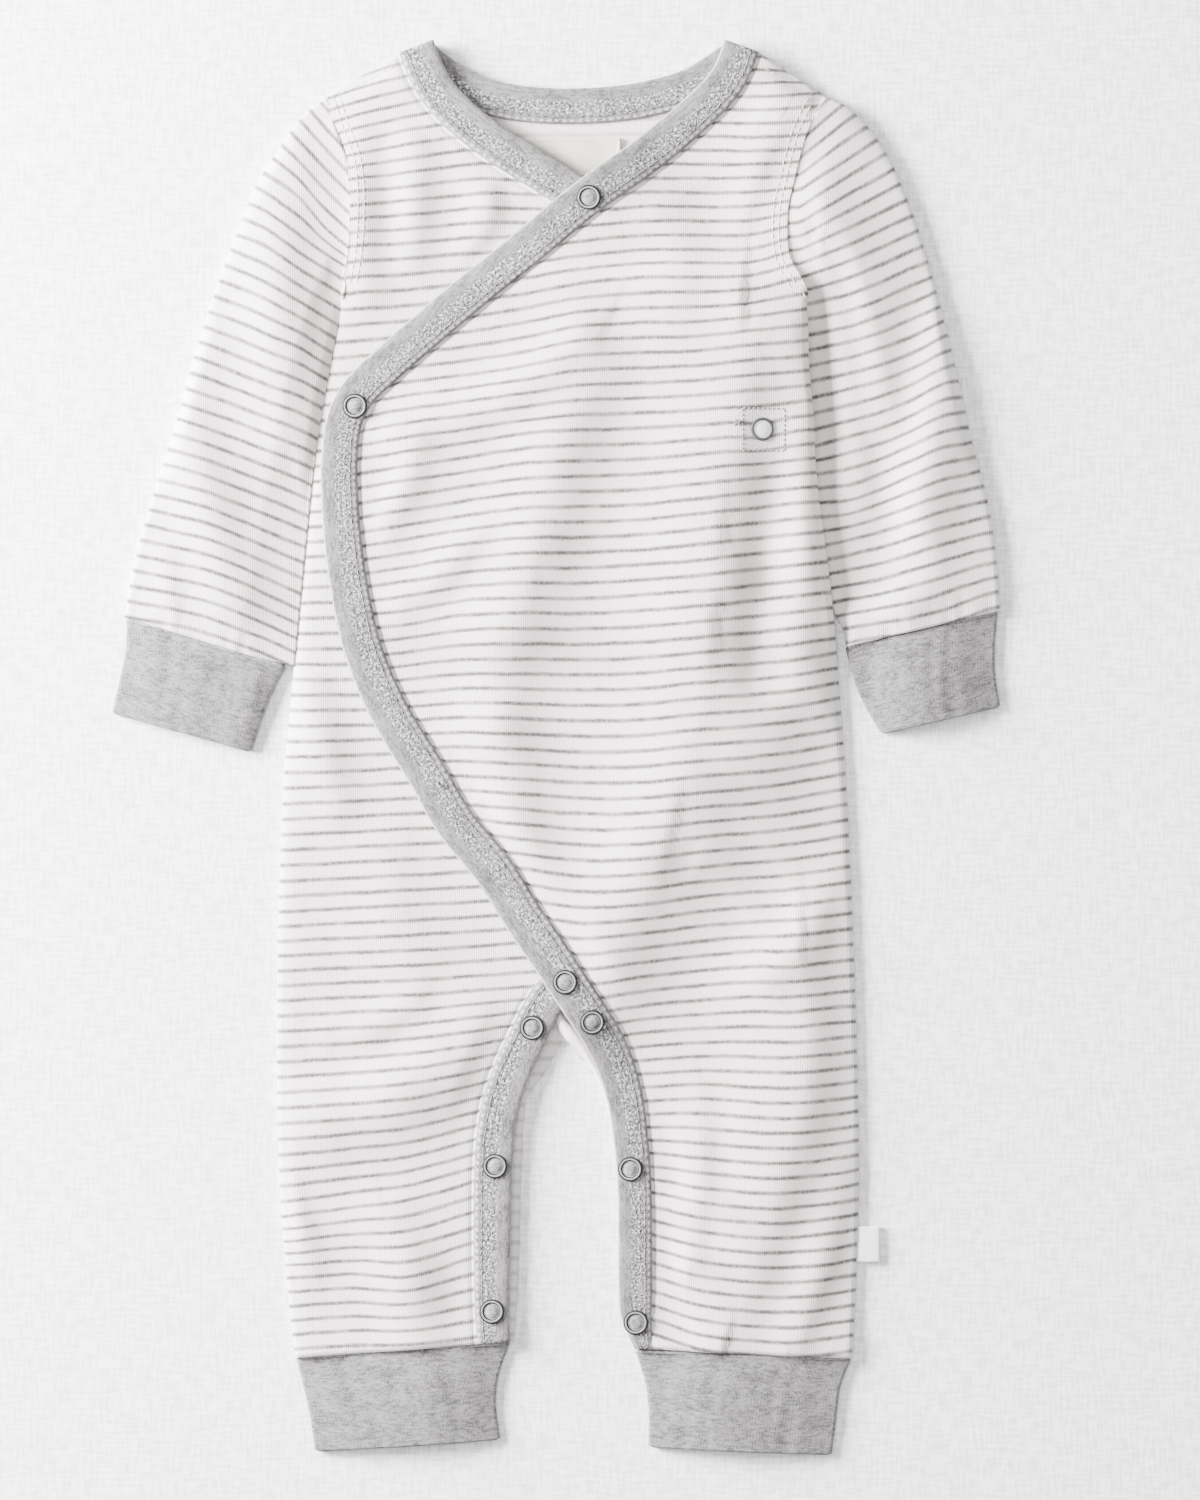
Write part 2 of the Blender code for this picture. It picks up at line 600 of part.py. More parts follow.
def surface_top(layer, x, y):
    """Top of the cloth that a snap sits on."""
    if layer == "over_band":
        return over_height(x, y) + WALL + PLY
    if layer == "under_band":
        return under_height(x, y) + WALL + PLY
    return over_height(x, y) + WALL


def snap(collection, row):
    """A ring snap: a turned ring that lies along the cloth under it."""
    wall = SNAP_RADIUS - SNAP_BORE
    profile = (
        (SNAP_BORE, 0.0), (SNAP_BORE, 0.55 * SNAP_HEIGHT), (SNAP_BORE + 0.35 * wall, SNAP_HEIGHT),
        (SNAP_RADIUS - 0.35 * wall, SNAP_HEIGHT), (SNAP_RADIUS, 0.5 * SNAP_HEIGHT),
        (SNAP_RADIUS, 0.0),
    )
    mesh = bpy.data.meshes.new(row.name)
    edges = [(i, (i + 1) % len(profile)) for i in range(len(profile))]
    mesh.from_pydata([(r * MM, 0.0, z * MM) for r, z in profile], edges, [])
    item = bpy.data.objects.new(row.name, mesh)
    look = SNAP_WHITE if row.layer == "over_panel" else SNAP_GREY
    mesh.materials.append(finish_for(row.name, look))
    collection.objects.link(item)
    turned = item.modifiers.new("turned", "SCREW")
    turned.steps = turned.render_steps = 16
    turned.use_merge_vertices = True
    turned.merge_threshold = 0.00001
    turned.use_normal_calculate = True
    reach = 3.0
    slope_x = (surface_top(row.layer, row.x + reach, row.y)
               - surface_top(row.layer, row.x - reach, row.y)) / (2 * reach)
    slope_y = (surface_top(row.layer, row.x, row.y + reach)
               - surface_top(row.layer, row.x, row.y - reach)) / (2 * reach)
    up = Vector((-slope_x, -slope_y, 1.0)).normalized()
    top = Vector((row.x, row.y, surface_top(row.layer, row.x, row.y)))
    item.rotation_euler = up.to_track_quat("Z", "Y").to_euler()
    item.location = (top + up * (GAP + 0.1)) * MM
    return item


def neck_label(collection):
    """A bare woven rectangle on the inside of the back, made from the back's own heights."""
    columns, rows = 7, 4
    points = []
    for r in range(rows):
        y = lerp(NECK_LABEL["top"], NECK_LABEL["bottom"], r / (rows - 1))
        for c in range(columns):
            x = lerp(NECK_LABEL["left"], NECK_LABEL["right"], c / (columns - 1))
            points.append((x, y, back_height(x, y) + PLY))
    item = add_object(collection, "neck_label", points, grid_faces(rows, columns), LABEL_CREAM)
    thicken(item, WALL, 1.0)
    return item


def side_tab(collection):
    """A bare folded tab in the side seam, lying on the surface."""
    width = SIDE_TAB["right"] - SIDE_TAB["left"]
    length = SIDE_TAB["top"] - SIDE_TAB["bottom"]
    bpy.ops.mesh.primitive_cube_add(size=1.0)
    item = bpy.context.active_object
    item.name = item.data.name = "side_tab"
    middle = Vector((0.5 * (SIDE_TAB["left"] + SIDE_TAB["right"]),
                     0.5 * (SIDE_TAB["top"] + SIDE_TAB["bottom"]), 0.5 * WALL))
    for v in item.data.vertices:
        v.co = Vector((v.co.x * width, v.co.y * length, v.co.z * WALL)) * MM
    item.location = middle * MM
    item.data.materials.append(finish_for("side_tab", TAB_WHITE))
    rounded = item.modifiers.new("rounded", "BEVEL")
    rounded.width = 0.35 * MM
    rounded.segments = 1
    for other in list(item.users_collection):
        other.objects.unlink(item)
    collection.objects.link(item)
    return item


def build_sleepsuit():
    """Every piece of the sleepsuit in one collection."""
    clear_scene()
    suit = bpy.data.collections.new("sleepsuit")
    bpy.context.scene.collection.children.link(suit)
    back_panel(suit)
    front_panel(suit, "front_under", "right", UNDER_LINE, 1, under_height)
    front_panel(suit, "front_over", "left", OVER_LINE, -1, over_height)
    binding(suit, "binding_neck_back", BACK_NECK_LINE, 1, back_height)
    binding(suit, "binding_under", UNDER_LINE, 1, under_height)
    binding(suit, "binding_over", OVER_LINE, -1, over_height)
    tube(suit, "sleeve_right", SLEEVE_RIGHT, CREAM, WALL, FOLDS_SLEEVE_RIGHT, SIDE_RIGHT)
    tube(suit, "sleeve_left", SLEEVE_LEFT, CREAM, WALL, FOLDS_SLEEVE_LEFT, SIDE_LEFT)
    for name, sections in CUFF_SECTIONS.items():
        tube(suit, name, sections, HEATHER, CUFF_WALL)
    neck_label(suit)
    side_tab(suit)
    for row in SNAPS:
        snap(suit, row)


build_sleepsuit()
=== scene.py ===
"""A footless kimono-wrap sleepsuit laid out flat: cloth, trims, stitches and a plain studio.

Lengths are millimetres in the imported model's frame until they become mesh points: +X towards
the wearer's left, +Y towards the neck, +Z up from the surface that the garment lies on.
"""

import logging
import math
from dataclasses import dataclass, field
from enum import Enum
from typing import Callable, NamedTuple, Sequence

import bpy
import numpy as np
from mathutils import Matrix, Vector

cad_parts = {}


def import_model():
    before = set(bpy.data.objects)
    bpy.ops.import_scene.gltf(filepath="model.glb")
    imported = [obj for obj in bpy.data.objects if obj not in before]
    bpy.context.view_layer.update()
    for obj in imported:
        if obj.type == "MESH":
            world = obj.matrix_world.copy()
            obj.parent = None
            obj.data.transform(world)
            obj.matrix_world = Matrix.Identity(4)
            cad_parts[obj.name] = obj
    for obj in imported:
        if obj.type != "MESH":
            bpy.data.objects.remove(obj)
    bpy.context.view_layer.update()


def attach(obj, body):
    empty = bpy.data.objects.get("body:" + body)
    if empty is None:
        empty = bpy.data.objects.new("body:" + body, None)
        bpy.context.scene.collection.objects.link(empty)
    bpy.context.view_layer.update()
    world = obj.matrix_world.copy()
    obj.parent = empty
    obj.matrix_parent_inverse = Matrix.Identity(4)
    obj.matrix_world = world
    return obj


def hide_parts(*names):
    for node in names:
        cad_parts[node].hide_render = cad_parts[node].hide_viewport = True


LOG = logging.getLogger("sleepsuit")

Array = np.ndarray
Object = bpy.types.Object
Material = bpy.types.Material
Colour = tuple[float, float, float]
HeightRule = Callable[[Array, Array], Array]

MM = 0.001
BODY = "root"

# Cloth and how its layers lie on each other.
WALL = 1.0
CUFF_WALL = 1.1
PLY = 1.3                  # a wall with the gap to the next
FRONT_LEVEL = 2 * PLY      # underside of a front on the back, over its binding's lower ply
LAYER_RISE = 2 * PLY       # how much higher a front lies where another front is beneath it
EDGE_LEVEL = PLY + 0.15    # underside of a front at its seams
CROSSING_RISE = PLY + 0.1  # how much the upper binding rises over the lower one
EDGE_INSET = 2.0           # a panel's raw edge, in from the fold of its binding
NECK_INSET = 3.2           # the back's raw edge, in from the fold of the neck's binding
SIDE_ROLL = 8.0            # a front rounds down to its seams over this width
LEG_ROLL = 14.0            # how much wider the roll is on the wearer's left leg
EDGE_PUFF = 5.6            # how much the wearer's left side is raised beside the sleeve
PUFF_SWELL = 0.35          # how much more it is raised by the underarm
HEM_RISE = 1.3             # how much a leg is raised over the cuff tucked under its hem
HEM_RUN = 16.0

# Reaches and widths of the slopes where cloth comes down from what lies beneath it.
NECK_REACH = 4.0
NECK_RUN = 45.0
BACK_NECK_RUN = 25.0
WRAP_RUN = 36.0
CROSSING_REACH = 13.0
CROSSING_RUN = 30.0
SIDE_PUFF_RUN = 11.0       # the back's, under the raised side
STRAP_REACH = 15.5         # the shoulder's roll is flattened beside the neck's binding
STRAP_RUN = 16.0

UNDERARM_Y = 179.2
CREASE_SCALE = 1.55
GROOVE = 0.4               # depth of the dent along a binding's seam
GROOVE_AWAY = 0.9          # how far from the binding it is, and how wide
PUCKER = 0.22              # height of the small puckers along a binding's seam
PUCKER_AWAY = 18.0
PUCKER_RUN = 9.0
DRIFT = 0.55               # height of the slow unevenness of a front
SQUARE_DIP = 1.5           # how far the stripes sag round the white snap
SQUARE_REACH = 9.0
HEM_TURN = 17.0            # length of a bound edge over which it turns along the hem
HEM_OVER = (0.999, -0.035)
HEM_UNDER = (-0.998, -0.070)
NO_HEM = (0.0, 0.0)
STITCH_PITCH = 2.9
STRIP = 15.0               # a binding's width on its cloth map
UV_SPAN = 100.0            # millimetres, or stripes, to one unit of the cloth's UV map


class Point(NamedTuple):
    """A place in the plane."""

    x: float
    y: float


class Band(NamedTuple):
    """A point on a binding's folded edge, with the binding's width there."""

    x: float
    y: float
    width: float


class Section(NamedTuple):
    """The two ends of a flattened tube's section and its height over all."""

    outer_x: float
    outer_y: float
    inner_x: float
    inner_y: float
    height: float


class Crease(NamedTuple):
    """A soft ridge, or a trough where its height is negative, along three points from the top.

    Its width is towards -X, where the light comes from, and its lee is towards +X.
    """

    x0: float
    y0: float
    x1: float
    y1: float
    x2: float
    y2: float
    width: float
    lee: float
    height: float


class Snap(NamedTuple):
    """A ring snap's node and place."""

    name: str
    x: float
    y: float


class Side(Enum):
    """Which side of the wearer a piece is on."""

    RIGHT = -1
    LEFT = 1


def rows_of(kind: type, *rows: tuple) -> tuple:
    """Name the numbers of a table's rows."""
    return tuple(kind(*row) for row in rows)


# The armhole and side seam, from the shoulder's tip to the ankle.
SIDE_SEAM = {
    Side.RIGHT: rows_of(
        Point,
        (-91.4, 260.4), (-87.4, 247.2), (-83.8, 238.4), (-81.8, 229.2), (-81.2, 213), (-82.6, 196),
        (-85.8, 179.2), (-90.6, 153.2), (-94.6, 131.2), (-97.8, 107.2), (-102.6, 59.2),
        (-106.2, 19.2), (-109.4, -20.8), (-111.4, -80.8), (-111.6, -140.8), (-110.2, -180.8),
        (-107, -220.8), (-104.4, -243.4),
    ),
    Side.LEFT: rows_of(
        Point,
        (106.2, 260.4), (99.4, 247.2), (96.6, 238.4), (93.6, 226), (91, 213), (91.8, 196),
        (99.6, 179.2), (101, 153.2), (103, 131.2), (104.2, 107.2), (110.2, 59.2), (113.4, 19.2),
        (116.2, -20.8), (118.8, -80.8), (120.6, -140.8), (120.8, -180.8), (119.4, -220.8),
        (118.2, -243.7),
    ),
}
NECK_TIP = {Side.RIGHT: Point(-50.6, 281.2), Side.LEFT: Point(68.6, 281.2)}

# The folded edges of the bindings.
EDGE_OVER = rows_of(
    Band,
    (67, 282.4, 14.4), (62.2, 270.8, 14.6), (51.8, 259.6, 14.8), (31.4, 242.4, 15), (7, 224.8, 15),
    (-15.4, 206.4, 15), (-40.2, 186, 15), (-62.6, 166.8, 14.8), (-80.6, 150.4, 14.6),
    (-87.6, 141.2, 14.4), (-91.8, 130.4, 14.4), (-93.6, 117, 14.6), (-93.8, 103.2, 14.8),
    (-92.6, 83.2, 15), (-89.4, 59.2, 15.2), (-83.8, 35.2, 15.4), (-73.8, 11.2, 15.6),
    (-59.4, -12.8, 15.8), (-47, -34.4, 16), (-31.4, -53.6, 16), (-20.2, -71.6, 16),
    (-11, -84.8, 16), (-2.2, -98, 15.8), (12.2, -120.4, 15.6), (19, -136.8, 14.8), (22.4, -154, 14),
    (24.4, -178, 13.6), (24.8, -220.8, 13.4), (27.6, -232, 10.6), (31.2, -239.8, 6.6),
)
EDGE_UNDER = rows_of(
    Band,
    (-49, 282.4, 14.8), (-44.2, 270.8, 14.8), (-37, 261, 14.8), (-22.6, 248.8, 14.8),
    (-4.2, 237.2, 15), (9, 228.8, 15), (33.4, 210.4, 15), (57.4, 189.2, 15), (77.4, 169.2, 14.8),
    (86.4, 154, 14.6), (91, 139, 14.6), (93, 123.2, 14.6), (94.2, 103.2, 14.8), (94.2, 79.2, 15),
    (92.4, 55.2, 15.2), (88.6, 31.2, 15.4), (79.4, 5.2, 15.6), (64.6, -20.8, 15.8),
    (48.6, -44.8, 15.8), (31, -70.8, 15.6), (17.4, -88.8, 15.2), (2.4, -104.8, 14.8),
    (-5.4, -120, 14.8), (-11.4, -133.2, 15), (-15.8, -149.2, 15.2), (-17.6, -168.4, 15.2),
    (-18.4, -200.4, 14.6), (-18.8, -222.4, 13.8), (-18.2, -237, 13.6),
)
EDGE_BACK_NECK = rows_of(
    Band,
    (-49.4, 281.6, 14.4), (-38, 272.8, 14.4), (-26.6, 267.4, 14.4), (-12, 264.4, 14.4),
    (5, 263.6, 14.4), (21.4, 264.4, 14.4), (36.6, 266.8, 14.4), (51.8, 271.6, 14.4),
    (67.2, 281.6, 14.4),
)
# Where the two bindings cross, at the neck and at the crotch.
CROSSINGS = (Point(4.6, 222), Point(3, -94))

# The inner edges of the back's legs, from the crotch to the ankle.
INNER_LEG = {
    Side.RIGHT: rows_of(
        Point,
        (2, -117.6), (-6.6, -132.8), (-11.8, -139), (-13.2, -148), (-14.4, -180), (-15.2, -210),
        (-17, -237.6),
    ),
    Side.LEFT: rows_of(
        Point,
        (4, -117.6), (12.4, -128), (18.2, -137.6), (23, -150), (26, -180), (26.4, -218),
        (31.8, -240.8),
    ),
}
BACK_TOP = {
    Side.RIGHT: (-91.4, -78, -65.4, -53.6, -42, -30, -16, -2),
    Side.LEFT: (106.2, 93, 81.4, 71.4, 57, 42, 27, 12),
}

# Flattened tubes.
SLEEVES = {
    Side.RIGHT: rows_of(
        Section,
        (-91.4, 260.4, -85.8, 179.2, 2.4), (-101.4, 252.6, -89.2, 174.4, 4.6),
        (-111, 239.4, -90.4, 165, 5.2), (-119.8, 225, -92, 153.2, 5.6),
        (-127.8, 205.6, -94, 140, 5.8), (-134.8, 187.2, -96.3, 126.4, 5.8),
        (-140.8, 169.2, -98.3, 111.6, 5.8), (-146.4, 150.4, -100, 96.8, 5.8),
        (-152, 130.4, -101.5, 81.6, 5.8), (-158, 111, -103, 66.4, 5.8),
        (-164, 91.6, -104.5, 52, 5.8), (-169.6, 70, -106, 40.8, 5.8),
        (-172.6, 52.2, -108.2, 32.6, 5.4),
    ),
    Side.LEFT: rows_of(
        Section,
        (106.2, 260.4, 99.6, 179.2, 2.4), (115.6, 256.6, 102.4, 175.2, 4.6),
        (124.6, 248, 102.8, 166.8, 5.2), (133, 235.6, 102.8, 156.8, 5.6),
        (140.2, 219.2, 103.4, 144.4, 5.8), (146.4, 201.6, 104.1, 130.8, 5.8),
        (151.8, 182.8, 104.8, 116.4, 5.8), (156.8, 163.2, 105.9, 102, 5.8),
        (161.6, 142.8, 107.7, 88, 5.8), (166.6, 120.4, 109.6, 74.4, 5.8),
        (172.2, 99.6, 111.9, 61.6, 5.8), (175.8, 76, 114, 50.4, 5.8),
        (177.2, 54.8, 115.8, 40.4, 5.4),
    ),
}
CUFFS = {
    "cuff_wrist_right": rows_of(
        Section,
        (-171.9, 51.2, -108.1, 31.7, 4.4), (-172.2, 39.8, -111.8, 25, 5),
        (-174.6, 27.6, -116.2, 15, 5), (-177.7, 13.8, -121.8, -1.8, 4.6),
    ),
    "cuff_wrist_left": rows_of(
        Section,
        (176.4, 54, 115.6, 39.6, 4.4), (175.4, 42, 118.2, 29.6, 5), (175.4, 30, 122.6, 18, 5),
        (177.5, 16.4, 130, 5.4, 4.6),
    ),
    "cuff_ankle_right": rows_of(
        Section,
        (-104, -244, -18.6, -238, 4.4), (-101.4, -254.4, -23, -250.4, 5),
        (-98.6, -266.8, -24.2, -262, 5), (-96.6, -281.2, -22.4, -276.4, 4.6),
    ),
    "cuff_ankle_left": rows_of(
        Section,
        (117.8, -244.4, 31.6, -241.4, 4.4), (113.6, -255.2, 35.2, -252.8, 5),
        (112, -267.6, 36.8, -264.6, 5), (110, -282.6, 36.8, -279.4, 4.6),
    ),
}

SNAP_RADIUS = 5.05
SNAPS_OVER = (
    Snap("snap_neck", 12.8, 219.2), Snap("snap_wrap", -80.2, 136),
    Snap("snap_crotch", 3.4, -93.2), Snap("snap_leg_left_top", 14.2, -109.2),
    Snap("snap_leg_left_mid", 29.4, -168), Snap("snap_leg_left_ankle", 31.6, -229.2),
)
SNAPS_UNDER = (
    Snap("snap_leg_right_top", -9.8, -111.6), Snap("snap_leg_right_mid", -24.6, -166.8),
    Snap("snap_leg_right_ankle", -25.8, -224.8),
)
SNAP_WHITE = Snap("snap_inner_white", 81.8, 126.8)

# Creases, by the piece that they are on. The armhole's crest is shared by front and sleeve.
ARMHOLE_CREST = Crease(100.6, 243, 99.2, 211, 101, 176, 30, 20, 3.4)
CREASES_UNDER = rows_of(
    Crease,
    (-79, 243, -79, 214, -77, 182, 9, 9, 2.2),
    (-57, 240, -57, 218, -58, 196, 8, 8, 1.9),
    (-27, 234, -27, 217, -32, 200, 9, 6, 1.7),
    (-98, 22, -94, 0, -88, -22, 10, 9, 1.9),
    (-68, -40, -66, -62, -58, -82, 13, 12, 1.2),
    (-58, -102, -74, -112, -90, -115, 8, 7, 1.4),
    (-36, -119, -62, -137, -90, -148, 15, 18, 3),
    (-66, -190, -59, -212, -57, -236, 14, 12, 2.5),
    (-107, -176, -103, -190, -97, -206, 7, 6, 1.3),
)
CREASES_OVER = rows_of(
    Crease,
    ARMHOLE_CREST,
    (14, 154, 1, 120, -5, 86, 20, 15, 3),
    (-9, 82, -19, 50, -25, 12, 17, 16, 3),
    (-22, 8, -18, -22, -12, -54, 12, 13, 2.3),
    (73, 160, 69, 112, 65, 68, 30, 12, 3),
    (64, 66, 60, 28, 52, -8, 30, 16, 3.4),
    (50, -12, 36, -46, 20, -80, 19, 16, 3),
    (88, 106, 82, 70, 80, 26, 8, 8, -1.3),
    (100, 124, 98, 72, 98, 26, 10, 8, 1.8),
    (8, 162, -26, 136, -66, 127, 11, 9, 2),
    (-57, 119, -61, 103, -70, 89, 6.5, 8, 1.8),
    (-31, 88, -46, 69, -63, 58, 7, 7, 1.6),
    (78, 18, 73, -6, 62, -30, 12, 24, 1.8),
    (112, -54, 101, -74, 84, -90, 11, 9, 1.9),
    (98, -92, 96, -140, 72, -222, 26, 15, 3.6),
    (117, -168, 109, -200, 95, -236, 10, 7, 2.2),
    (57, -138, 57, -168, 54, -204, 9, 6, 1.1),
    (42, 214, 47, 190, 44, 166, 14, 12, 1.2),
    (88, 248, 80, 232, 75, 214, 8, 6, 1),
)
CREASES_SLEEVE = {
    Side.RIGHT: rows_of(
        Crease,
        (-109, 228, -113, 195, -106, 128, 14, 17, 2.8),
        (-141, 160, -147, 128, -130, 60, 12, 12, 2.4),
        (-156, 78, -155, 62, -153, 46, 6, 5, 0.9),
    ),
    Side.LEFT: rows_of(
        Crease,
        ARMHOLE_CREST,
        (104, 186, 105, 132, 111, 66, 14, 27, 3),
        (144, 176, 134, 120, 120, 62, 10, 9, -1.1),
        (154, 170, 151, 122, 139, 58, 10, 14, 2.3),
    ),
}

CREASES_CUFF = {
    "cuff_wrist_right": (Crease(-112, 30, -117, 14, -123, -2, 12, 5, 1.5),),
    "cuff_wrist_left": (Crease(137, 44, 141, 26, 147, 4, 16, 20, 1.7),),
    "cuff_ankle_right": (Crease(-52, -240, -47, -258, -44, -280, 18, 16, 0.9),),
    "cuff_ankle_left": (Crease(66, -240, 64, -258, 68, -282, 16, 22, 1),),
}


# ---------------------------------------------------------------- lines and rules

def smooth_line(rows: Sequence[Sequence[float]], step: float) -> Array:
    """Draw a Catmull-Rom curve through rows of numbers.

    Args:
        rows: Points, whose first two columns are x and y; any others are carried along.
        step: About how long a span of the curve is, in millimetres.

    Returns:
        One row for each point of the curve.
    """
    data = np.array(rows, dtype=float)
    out = []
    for i in range(len(data) - 1):
        p0, p1 = data[max(i - 1, 0)], data[i]
        p2, p3 = data[i + 1], data[min(i + 2, len(data) - 1)]
        spans = max(1, round(float(np.hypot(*(p2 - p1)[:2])) / step))
        t = (np.arange(spans) / spans)[:, None]
        out.append(0.5 * (2 * p1 + (p2 - p0) * t + (2 * p0 - 5 * p1 + 4 * p2 - p3) * t ** 2
                          + (3 * p1 - p0 - 3 * p2 + p3) * t ** 3))
    out.append(data[-1:])
    return np.vstack(out)


def inward(line: Array) -> Array:
    """Unit vectors to the right of a line's run, one for each of its points.

    Args:
        line: The line's points.

    Returns:
        One vector for each point.
    """
    run = np.gradient(line[:, :2], axis=0)
    run /= np.hypot(run[:, 0], run[:, 1])[:, None]
    return np.stack([run[:, 1], -run[:, 0]], axis=1)


def across_edge(line: Array, turn: int, hem: tuple[float, float]) -> Array:
    """Unit vectors from a bound edge into its cloth, turned along the hem at the ankle.

    Args:
        line: The edge's points, from the neck to the ankle.
        turn: 1 where the cloth lies to the right of the edge's run, -1 to its left.
        hem: The hem's way at the ankle; both 0 where the edge has none.

    Returns:
        One vector for each point.
    """
    normal = inward(line) * turn
    if not any(hem):
        return normal
    arc = arc_length(line)
    share = ease((arc - arc[-1] + HEM_TURN) / HEM_TURN)[:, None]
    turned = normal * (1 - share) + np.array(hem) * share
    return turned / np.hypot(turned[:, 0], turned[:, 1])[:, None]


def arc_length(line: Array) -> Array:
    """Distance along a line to each of its points."""
    steps = np.hypot(*np.diff(line[:, :2], axis=0).T)
    return np.concatenate([[0.0], np.cumsum(steps)])


def nearest(line: Array, x: Array, y: Array) -> tuple[Array, Array, Array]:
    """Find the nearest point of a line.

    Args:
        line: The line's points.
        x: Places across.
        y: Places along.

    Returns:
        The distance to the line, how far along the line its nearest point is, and whether the
        place is to the left of the line's run.
    """
    x, y = np.asarray(x, dtype=float), np.asarray(y, dtype=float)
    best = np.full(np.broadcast(x, y).shape, np.inf)
    along = np.zeros(best.shape)
    left = np.zeros(best.shape, dtype=bool)
    arc = arc_length(line)
    for i in range(len(line) - 1):
        (ax, ay), (bx, by) = line[i, :2], line[i + 1, :2]
        dx, dy = bx - ax, by - ay
        span = max(dx * dx + dy * dy, 1e-9)
        t = np.clip(((x - ax) * dx + (y - ay) * dy) / span, 0.0, 1.0)
        distance = np.hypot(x - ax - t * dx, y - ay - t * dy)
        closer = distance < best
        best = np.where(closer, distance, best)
        along = np.where(closer, arc[i] + t * math.sqrt(span), along)
        left = np.where(closer, dx * (y - ay) - dy * (x - ax) > 0, left)
    return best, along, left


def x_at(line: Array, y: Array) -> Array:
    """Where a line that falls from start to end crosses heights y."""
    return np.interp(y, line[::-1, 1], line[::-1, 0])


def ease(t: Array) -> Array:
    """Smooth step from 0 to 1."""
    t = np.clip(t, 0.0, 1.0)
    return t * t * (3 - 2 * t)


def fade(distance: Array, reach: float, run: float) -> Array:
    """1 within reach, falling smoothly to 0 over run."""
    return 1 - ease((distance - reach) / run)


class Slope(NamedTuple):
    """A smooth step from 0 to 1 that starts at a place and takes a run, down where negative."""

    start: float
    run: float

    def at(self, place: Array) -> Array:
        """How far up the step a place is."""
        return ease((place - self.start) / self.run)


BELOW_ARM = Slope(UNDERARM_Y + 2.0, -16.0)
ON_LEG = Slope(30.0, -60.0)
PUFF_FOOT = Slope(26.0, 26.0)
PUFF_UNDERARM = Slope(95.0, 40.0)
PUFF_HEAD = Slope(196.0, -12.0)
CLEAR_OF_BAND = Slope(15.0, 14.0)
CLEAR_OF_WRAP = Slope(1.0, 12.0)


def ripple(along: Array, length: float, shift: float) -> Array:
    """Uneven waves from -1 to 1 along a seam.

    Args:
        along: Distances along the seam.
        length: About how long a wave is.
        shift: What tells one run of waves from another.

    Returns:
        The waves.
    """
    turn = math.tau / length
    slow = np.sin(0.37 * turn * along + shift)
    return np.sin(turn * along + 1.7 * slow + shift) * (0.65 + 0.35 * np.sin(0.21 * turn * along))


def creased(rows: Sequence[Crease], x: Array, y: Array) -> Array:
    """Height of the creases at places x and y.

    Args:
        rows: The creases.
        x: Places across.
        y: Places along.

    Returns:
        What they add to the height there.
    """
    total = np.zeros(np.broadcast(x, y).shape)
    for row in rows:
        crest = smooth_line(((row.x0, row.y0), (row.x1, row.y1), (row.x2, row.y2)), 6.0)
        distance, along, beyond = nearest(crest, x, y)
        width = np.where(beyond, row.lee, row.width)
        length = arc_length(crest)[-1]
        swell = 0.8 - 0.2 * np.cos(math.tau * along / length)
        total = total + CREASE_SCALE * row.height * swell * np.exp(-(distance / width) ** 2)
    return total


